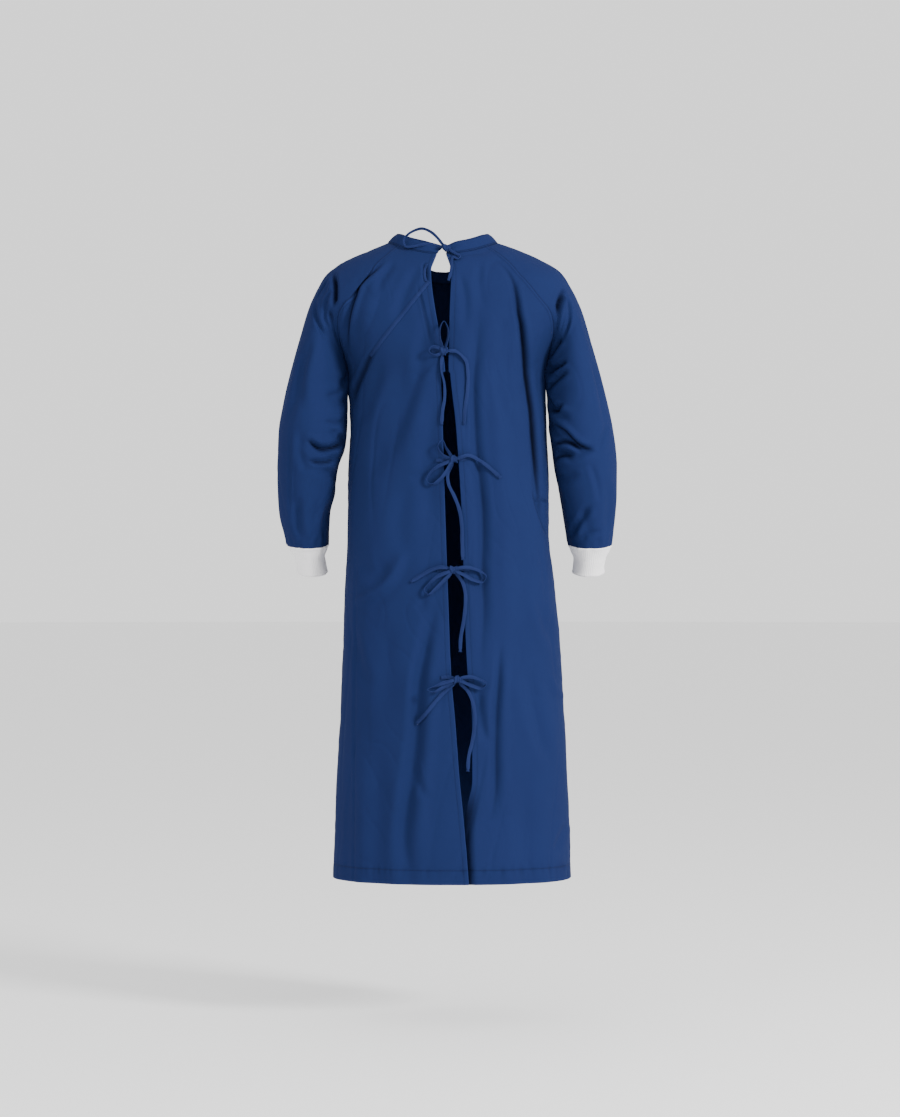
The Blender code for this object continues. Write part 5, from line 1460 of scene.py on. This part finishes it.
def from_nodes(name, base, tree, values):
    """The plain mesh that a node tree makes of an object; the object itself is taken away."""
    modifier = base.modifiers.new("nodes", "NODES")
    modifier.node_group = tree
    for socket in tree.interface.items_tree:
        if socket.name in values:
            modifier[socket.identifier] = values[socket.name]
    evaluated = base.evaluated_get(bpy.context.evaluated_depsgraph_get())
    mesh = bpy.data.meshes.new_from_object(evaluated)
    mesh.name = name
    base.modifiers.clear()
    bpy.data.objects.remove(base)
    mesh.shade_smooth()
    return show(name, mesh)


# ---- tapes and knots -----------------------------------------------------------------------------------
TAPE_STEP = 2.0 * MM
KNOT_OUT = 6.0 * MM
KNOT_SIZE = (0.0170, 0.0110, 0.0140)
OUT_SPARE = 0.004           # part of a route's distance from the cloth that leaves room for its folds
TAPE_CLEAR = 1.1 * MM       # least distance of a tape's middle from the cloth
NECK_KNOT = "tie_1"         # its tapes come out of the knot, and are narrower and thicker
BACK_TREE = []


def back_tree():
    """The back's outer surface, as a tree for finding where something would touch it."""
    if not BACK_TREE:
        points, faces, first = [], [], 0
        for name in ("back_left", "back_right", "neckband"):
            grid = SURFACES[name]
            rows, columns = grid.shape[:2]
            points += grid.reshape(-1, 3).tolist()
            faces += quads(np.arange(rows * columns).reshape(rows, columns) + first).tolist()
            first += rows * columns
        BACK_TREE.append(BVHTree.FromPolygons(points, faces))
    return BACK_TREE[0]


def resting_y(x, z):
    """y of the back's surface seen from behind, carried across the opening and over the neckband."""
    for away in range(12):
        hits = []
        for sideways in (-away, away):
            for lower in (0, away):
                start = Vector((x + sideways * 3 * MM, -1, z - lower * 4 * MM))
                place = back_tree().ray_cast(start, Vector((0, 1, 0)))[0]
                if place is not None and place.y < 0:
                    hits.append(place.y)
        if hits:
            return min(hits)
    raise RuntimeError("no cloth near this place")


def knot_place(name):
    """Middle of a knot, resting on the cloth."""
    spot = KNOTS[name]
    return np.array([spot.x, resting_y(spot.x, spot.z) - KNOT_OUT, spot.z])


def tape_route(tape):
    """Centre line and twist of a tape, in even steps, through its knot between its stretches."""
    knot = KNOTS[tape.knot]
    spots = []
    for number, stretch in enumerate(tape.stretches):
        if number or tape.knot == NECK_KNOT:
            before = spots[-1].twist if spots else ROUTES[stretch][0].twist
            spots.append(Spot(knot.x + (0.8 - 1.6 * (number % 2)) * MM, knot.z + (number - 1) * 1.2 * MM,
                              OUT_SPARE + KNOT_OUT + (number - 1) * 1.0 * MM, before))
        spots += ROUTES[stretch]
    if tape.far_end == "knot":
        spots.append(Spot(knot.x, knot.z - 1.5 * MM, OUT_SPARE + KNOT_OUT, spots[-1].twist))
    flat = np.array([[s.x, s.z, s.out - OUT_SPARE, math.radians(s.twist)] for s in spots])
    travel = travelled(flat[:, :3])
    places = np.linspace(0, travel[-1], round(travel[-1] / TAPE_STEP) + 1)
    route = curve_through(travel, flat, np.gradient(flat, travel, axis=0), places)
    tape_half = settings("gown_tapes").width / 2
    ground = np.array([min(resting_y(x + shift, z) for shift in (-3 * MM, 0, 3 * MM))
                       for x, z in route[:, :2]])
    clear = tape_half * np.abs(np.sin(route[:, 3])) + TAPE_CLEAR
    y = ground - np.maximum(route[:, 2], clear)
    for _ in range(6):
        y = np.minimum(eased(y), ground - clear)
    return np.stack([route[:, 0], y, route[:, 1]], axis=1), route[:, 3]


def tape_frames(centres, twists):
    """Directions across and through a tape at each of its places."""
    ahead = unit(np.gradient(centres, axis=0))
    flat = unit(np.cross(ahead, [0, -1, 0]))
    for k in range(1, len(flat)):
        if flat[k] @ flat[k - 1] < 0:
            flat[k] = -flat[k]
    normal = np.cross(flat, ahead)
    wide = flat * np.cos(twists)[:, None] + normal * np.sin(twists)[:, None]
    for _ in range(3):
        ease_rows(wide)
        wide = square_to(wide, ahead)
    return wide, np.cross(wide, ahead)


KNOT_NEAR, KNOT_THICK = 10 * MM, 0.9    # how near a knot a tape bunches up, and how much thicker it gets
TIP = namedtuple("Tip", "away half slim thick")(4 * MM, 2.2 * MM, 0.30, 2.4)     # a tape's thickened end
NECK_SLIM, NECK_THICK = 0.82, 0.7
TAPE_SWAY, TAPE_SWAY_STEP = 0.05, 0.45  # a tape's small changes of width


def make_tape(name, tape, material):
    """One tape with its route, narrowed where it goes through its knot."""
    tapes = settings("gown_tapes")
    centres, twists = tape_route(tape)
    wide, deep = tape_frames(centres, twists)
    middle = knot_place(tape.knot)
    near = bell(np.linalg.norm(centres - middle, axis=1) / KNOT_NEAR)
    steps = np.arange(len(centres))
    tip = bell((steps[::-1] * TAPE_STEP - TIP.away) / TIP.half)
    at_neck = tape.knot == NECK_KNOT
    widths = tapes.width * (NECK_SLIM if at_neck else 1.0) * (1 - (1 - tapes.bunched) * near)
    widths *= 1 - TAPE_SWAY * np.sin(steps * TAPE_SWAY_STEP + len(name))
    widths *= 1 - TIP.slim * tip
    thicks = tapes.thick * (1 + KNOT_THICK * near + NECK_THICK * at_neck + TIP.thick * tip)
    item = strip(name, centres, wide, deep, widths, thicks, material)
    settle(item, "navy_tape", *tape.stretches)
    return item, centres


KnotWrap = namedtuple("KnotWrap", "shift lean reach width")
KNOT_WRAPS = [KnotWrap(-1.6 * MM, 1.0, 0.96, 0.0070), KnotWrap(2.6 * MM, -1.6, 0.86, 0.0062)]
KNOT_LEAN = {"tie_3": 12, "tie_5": 12}  # the others lean the other way
WRAP_THICK, WRAP_SWELL = 0.0021, 0.14


def make_knot(name, material):
    """Where two tapes are tied: tape wrapped round their crossing, and tape over it."""
    middle = knot_place(name)
    size = np.array(KNOT_SIZE) / 2
    turns = np.linspace(0, 2 * math.pi, 40, endpoint=False)
    lean = math.radians(KNOT_LEAN.get(name, -14))
    pieces = []
    for number, wrap in enumerate(KNOT_WRAPS):
        tilt = lean * wrap.lean
        ring = np.stack([np.sin(turns) * size[2] * math.sin(tilt) + wrap.shift,
                         -np.cos(turns) * size[1] * wrap.reach, np.sin(turns) * size[2] * wrap.reach], axis=1)
        centres = middle + ring
        ahead = unit(np.roll(centres, -1, axis=0) - np.roll(centres, 1, axis=0))
        wide = square_to(np.array([math.cos(tilt), 0, math.sin(tilt)]) * np.ones((len(turns), 1)), ahead)
        swell = 1 + WRAP_SWELL * np.sin(turns * 3 + number)
        pieces.append(strip(f"{name}_band_{number}", centres, wide, np.cross(wide, ahead), wrap.width * swell,
                            np.full(len(turns), WRAP_THICK), material, closed=True))
    pieces.append(core(name, middle, size, material))
    item = join(name + "_wrapped", pieces)
    return settle(item, "navy_tape", name + "_knot")


def core(name, middle, size, material):
    """The pleated lump inside a knot."""
    levels, rounds = 20, 36
    lift = np.linspace(0, math.pi, levels + 1)[:, None]
    turn = np.linspace(0, 2 * math.pi, rounds + 1)[None, :]
    pleat = 1 + 0.07 * np.sin(5 * lift + 2 * np.sin(turn)) * np.sin(lift)
    radius = np.sin(lift) ** 0.8 * pleat
    points = np.stack([np.cos(lift) * size[0] * 0.98 + 0 * turn, radius * np.cos(turn) * size[1] * 0.86,
                       radius * np.sin(turn) * size[2] * 0.84], axis=-1) + middle
    index = np.arange((levels + 1) * (rounds + 1)).reshape(levels + 1, rounds + 1)
    index[:, -1] = index[:, 0]
    index[0], index[-1] = index[0, 0], index[-1, 0]
    faces = []
    for level, k in np.ndindex(levels, rounds):
        corners = [index[level, k], index[level, k + 1], index[level + 1, k + 1], index[level + 1, k]]
        faces.append(list(dict.fromkeys(int(v) for v in corners)))
    used = sorted({v for face in faces for v in face})
    order = {old: new for new, old in enumerate(used)}
    item = new_object(name + "_core", points.reshape(-1, 3)[used], [[order[v] for v in face] for face in faces],
                      material)
    recalculate(item)
    add_uv(item, points.reshape(-1, 3)[used][:, [0, 2]])
    add_number(item, "wear", np.zeros(len(used)))
    return item


StayPart = namedtuple("StayPart", "lift width thick")
STAY_PARTS = [StayPart(0.75 * MM, 1.0, 1.5 * MM), StayPart(1.8 * MM, 0.75, 1.6 * MM)]
STAY_END = [(-0.0455, -0.052), (-0.0490, -0.062), (-0.0500, -0.074), (-0.0470, -0.088)]


def make_stay_tape(material):
    """The narrow tape stitched slantwise on the left back, with the short end that hangs over its top."""
    width = settings("gown_tapes").width
    start = np.array([STAY_TAPE.x_top, STAY_TAPE.z_top])
    run = np.array([STAY_TAPE.x_end, STAY_TAPE.z_end]) - start
    count = round(np.linalg.norm(run) / TAPE_STEP)
    flat = start + run * np.linspace(0, 1, count + 1)[:, None]
    pieces = []
    for number, (line, part) in enumerate(zip((flat, smooth_line(STAY_END, 6)), STAY_PARTS)):
        y = np.array([resting_y(x, z) for x, z in line]) - part.lift
        for _ in range(3):
            y = np.minimum(eased(y), y)
        centres = np.stack([line[:, 0], y, line[:, 1]], axis=1)
        run_x, _, run_z = centres[-1] - centres[0]
        side_x, side_z = unit(np.array([-run_z, run_x])) * width / 2
        edges = np.array([[(x + s * side_x, resting_y(x + s * side_x, z + s * side_z), z + s * side_z)
                           for s in (-1, 1)] for x, z in line])
        wide = unit(edges[:, 1] - edges[:, 0])
        for _ in range(4):
            ease_rows(wide)
        deep = unit(np.cross(wide, np.gradient(centres, axis=0)))
        pieces.append(strip(f"stay_tape_{number}", centres, wide, deep, np.full(len(line), width * part.width),
                            np.full(len(line), part.thick), material))
    item = join("stay_tape_strip", pieces)
    return settle(item, "navy_tape", "stay_tape_left")


# ---- stitching -----------------------------------------------------------------------------------------
def stitch_lines(name):
    """Lines on the outside of one panel that are sewn."""
    outer = SURFACES[name]
    if name == "neckband":
        shares = [row.share for row in BAND_SECTION][::-1]
        return [outer[shares.index(line)] for line in BAND_STITCHES]
    panel = cut_panels()[name]
    rows = slice(0, None)
    if name.startswith("sleeve"):
        rows = slice(panel.pit + 4, None)
    if name == "front":
        rows = slice(0, panel.pit)
    lines = []
    for side, columns in ((panel.start_side, range(len(panel.start_side))),
                          (panel.end_side, range(-1, -1 - len(panel.end_side), -1))):
        lines += [outer[rows, column] for row, column in zip(side, columns) if row.away in sewn_lines(side)]
    if not name.startswith("sleeve"):
        hem = settings("gown_cloth").hem
        lines.append(outer[np.abs(outer[:, 0, 2] - HEM_Z - hem).argmin()])
    return lines


def make_stitches(name, lines, material, tree):
    """Rows of thread along lines."""
    thread = settings("gown_thread")
    mesh = bpy.data.meshes.new(name)
    points = np.concatenate(lines)
    edges, first = [], 0
    for line in lines:
        edges += [(first + k, first + k + 1) for k in range(len(line) - 1)]
        first += len(line)
    mesh.from_pydata(points, edges, [])
    item = from_nodes(name, show(name + "_lines", mesh), tree,
                      {"Stitch": thread.stitch, "Gap": thread.gap, "Thickness": thread.thick,
                       "Material": material})
    return settle(item, "navy_cloth")


# ---- stage ---------------------------------------------------------------------------------------------
CAMERA_PLACE, CAMERA_LENS = (0.0, -6.4, -0.633), 103.0
LOOK_AT = Vector((0.0, 0.0, -0.6))
Lamp = namedtuple("Lamp", "place size power")
LAMPS = {"key_light": Lamp((4.0, -3.4, 1.7), 1.3, "key"), "fill_light": Lamp((-3.2, -3.6, 0.2), 2.6, "fill")}
FLOOR_RADIUS, FLOOR_SIDES = 40.0, 96


def make_stage():
    """Camera, pale floor, even light from all round and two soft lamps."""
    stage = settings("gown_stage")
    lens = bpy.data.cameras.new("camera")
    lens.lens = CAMERA_LENS
    camera = show("camera", lens)
    camera.location = CAMERA_PLACE
    camera.rotation_euler = (math.radians(90), 0, 0)
    bpy.context.scene.camera = camera

    world = bpy.data.worlds.new("surroundings")
    world.use_nodes = True
    background = world.node_tree.nodes["Background"].inputs
    background["Color"].default_value = (1, 1, 1, 1)
    background["Strength"].default_value = stage.sky
    bpy.context.scene.world = world
    for name, lamp in LAMPS.items():
        light = bpy.data.lights.new(name, "AREA")
        light.size = lamp.size
        light.energy = getattr(stage, lamp.power)
        item = show(name, light)
        item.location = lamp.place
        item.rotation_euler = (LOOK_AT - Vector(lamp.place)).to_track_quat("-Z", "Y").to_euler()

    turns = [2 * math.pi * k / FLOOR_SIDES for k in range(FLOOR_SIDES)]
    ring = [(FLOOR_RADIUS * math.cos(turn), FLOOR_RADIUS * math.sin(turn), HEM_Z - stage.floor_drop)
            for turn in turns]
    material = bpy.data.materials.new("pale_floor")
    material.use_nodes = True
    shader = material.node_tree.nodes["Principled BSDF"]
    shader.inputs["Base Color"].default_value = (*stage.floor_colour, 1)
    shader.inputs["Roughness"].default_value = 0.9
    new_object("floor", ring, [list(range(FLOOR_SIDES))], material)


# ---- operators -----------------------------------------------------------------------------------------
def cloth_finish():
    """Cloth of the panels, sleeves and neckband."""
    return finish("navy_cloth", settings("gown_cloth").colour)


def tape_finish():
    """Cloth of the tapes and knots."""
    return finish("navy_tape", settings("gown_tapes").colour)


class GOWN_OT_stage(bpy.types.Operator):
    """Set up the camera, floor and lights"""
    bl_idname = "gown.stage"
    bl_label = "Stage"

    def execute(self, context):
        make_stage()
        return {"FINISHED"}


class GOWN_OT_panels(bpy.types.Operator):
    """Sew the front, the two backs and the two sleeves"""
    bl_idname = "gown.panels"
    bl_label = "Panels and sleeves"

    def execute(self, context):
        for name in CUTS:
            make_panel(name, cloth_finish())
        return {"FINISHED"}


class GOWN_OT_neckband(bpy.types.Operator):
    """Make the band round the neck"""
    bl_idname = "gown.neckband"
    bl_label = "Neckband"

    def execute(self, context):
        make_neckband(cloth_finish())
        return {"FINISHED"}


class GOWN_OT_cuffs(bpy.types.Operator):
    """Knit the two cuffs"""
    bl_idname = "gown.cuffs"
    bl_label = "Cuffs"

    def execute(self, context):
        tree = rib_tree()
        for side in (-1, 1):
            make_cuff(side, finish("white_rib", settings("gown_cuffs").colour), tree)
        return {"FINISHED"}


class GOWN_OT_tapes(bpy.types.Operator):
    """Tie the five pairs of tapes and sew on the stay tape"""
    bl_idname = "gown.tapes"
    bl_label = "Tapes and knots"

    def execute(self, context):
        knots = {name: make_knot(name, tape_finish()) for name in KNOTS}
        shown = set()
        for name, tape in TAPES.items():
            item, centres = make_tape(name, tape, tape_finish())
            shown.add(tape.knot)
            settings("gown_tapes").width
        make_stay_tape(tape_finish())
        return {"FINISHED"}


class GOWN_OT_stitching(bpy.types.Operator):
    """Lay the thread along all seams, edges and hems"""
    bl_idname = "gown.stitching"
    bl_label = "Stitching"

    def execute(self, context):
        thread = finish("thread", settings("gown_thread").colour)
        tree = stitch_tree()
        for name in (*CUTS, "neckband"):
            sewn = [make_stitches(name + "_stitches", stitch_lines(name), thread, tree)]
            if name == "back_left":
                sewn.append(bpy.data.objects["stay_tape_strip"])
        return {"FINISHED"}


class GOWN_PT_sidebar(bpy.types.Panel):
    """Settings and pieces of the gown"""
    bl_idname = "GOWN_PT_sidebar"
    bl_label = "Surgical gown"
    bl_space_type = "VIEW_3D"
    bl_region_type = "UI"
    bl_category = "Gown"

    def draw(self, context):
        for operator in OPERATORS:
            self.layout.operator(operator.bl_idname)
        for name, kind in SETTINGS.items():
            box = self.layout.box()
            box.label(text=kind.__doc__)
            for label in kind.__annotations__:
                box.prop(getattr(context.scene, name), label)


OPERATORS = (GOWN_OT_stage, GOWN_OT_panels, GOWN_OT_neckband, GOWN_OT_cuffs, GOWN_OT_tapes, GOWN_OT_stitching)


def register():
    for kind in (*SETTINGS.values(), *OPERATORS, GOWN_PT_sidebar):
        bpy.utils.register_class(kind)
    for name, kind in SETTINGS.items():
        setattr(bpy.types.Scene, name, bpy.props.PointerProperty(type=kind))


def unregister():
    for name in SETTINGS:
        delattr(bpy.types.Scene, name)
    for kind in reversed((*SETTINGS.values(), *OPERATORS, GOWN_PT_sidebar)):
        bpy.utils.unregister_class(kind)


def main():
    register()
    bpy.ops.gown.stage()
    bpy.ops.gown.panels()
    bpy.ops.gown.neckband()
    bpy.ops.gown.cuffs()
    bpy.ops.gown.tapes()
    bpy.ops.gown.stitching()


if __name__ == "__main__":
    main()
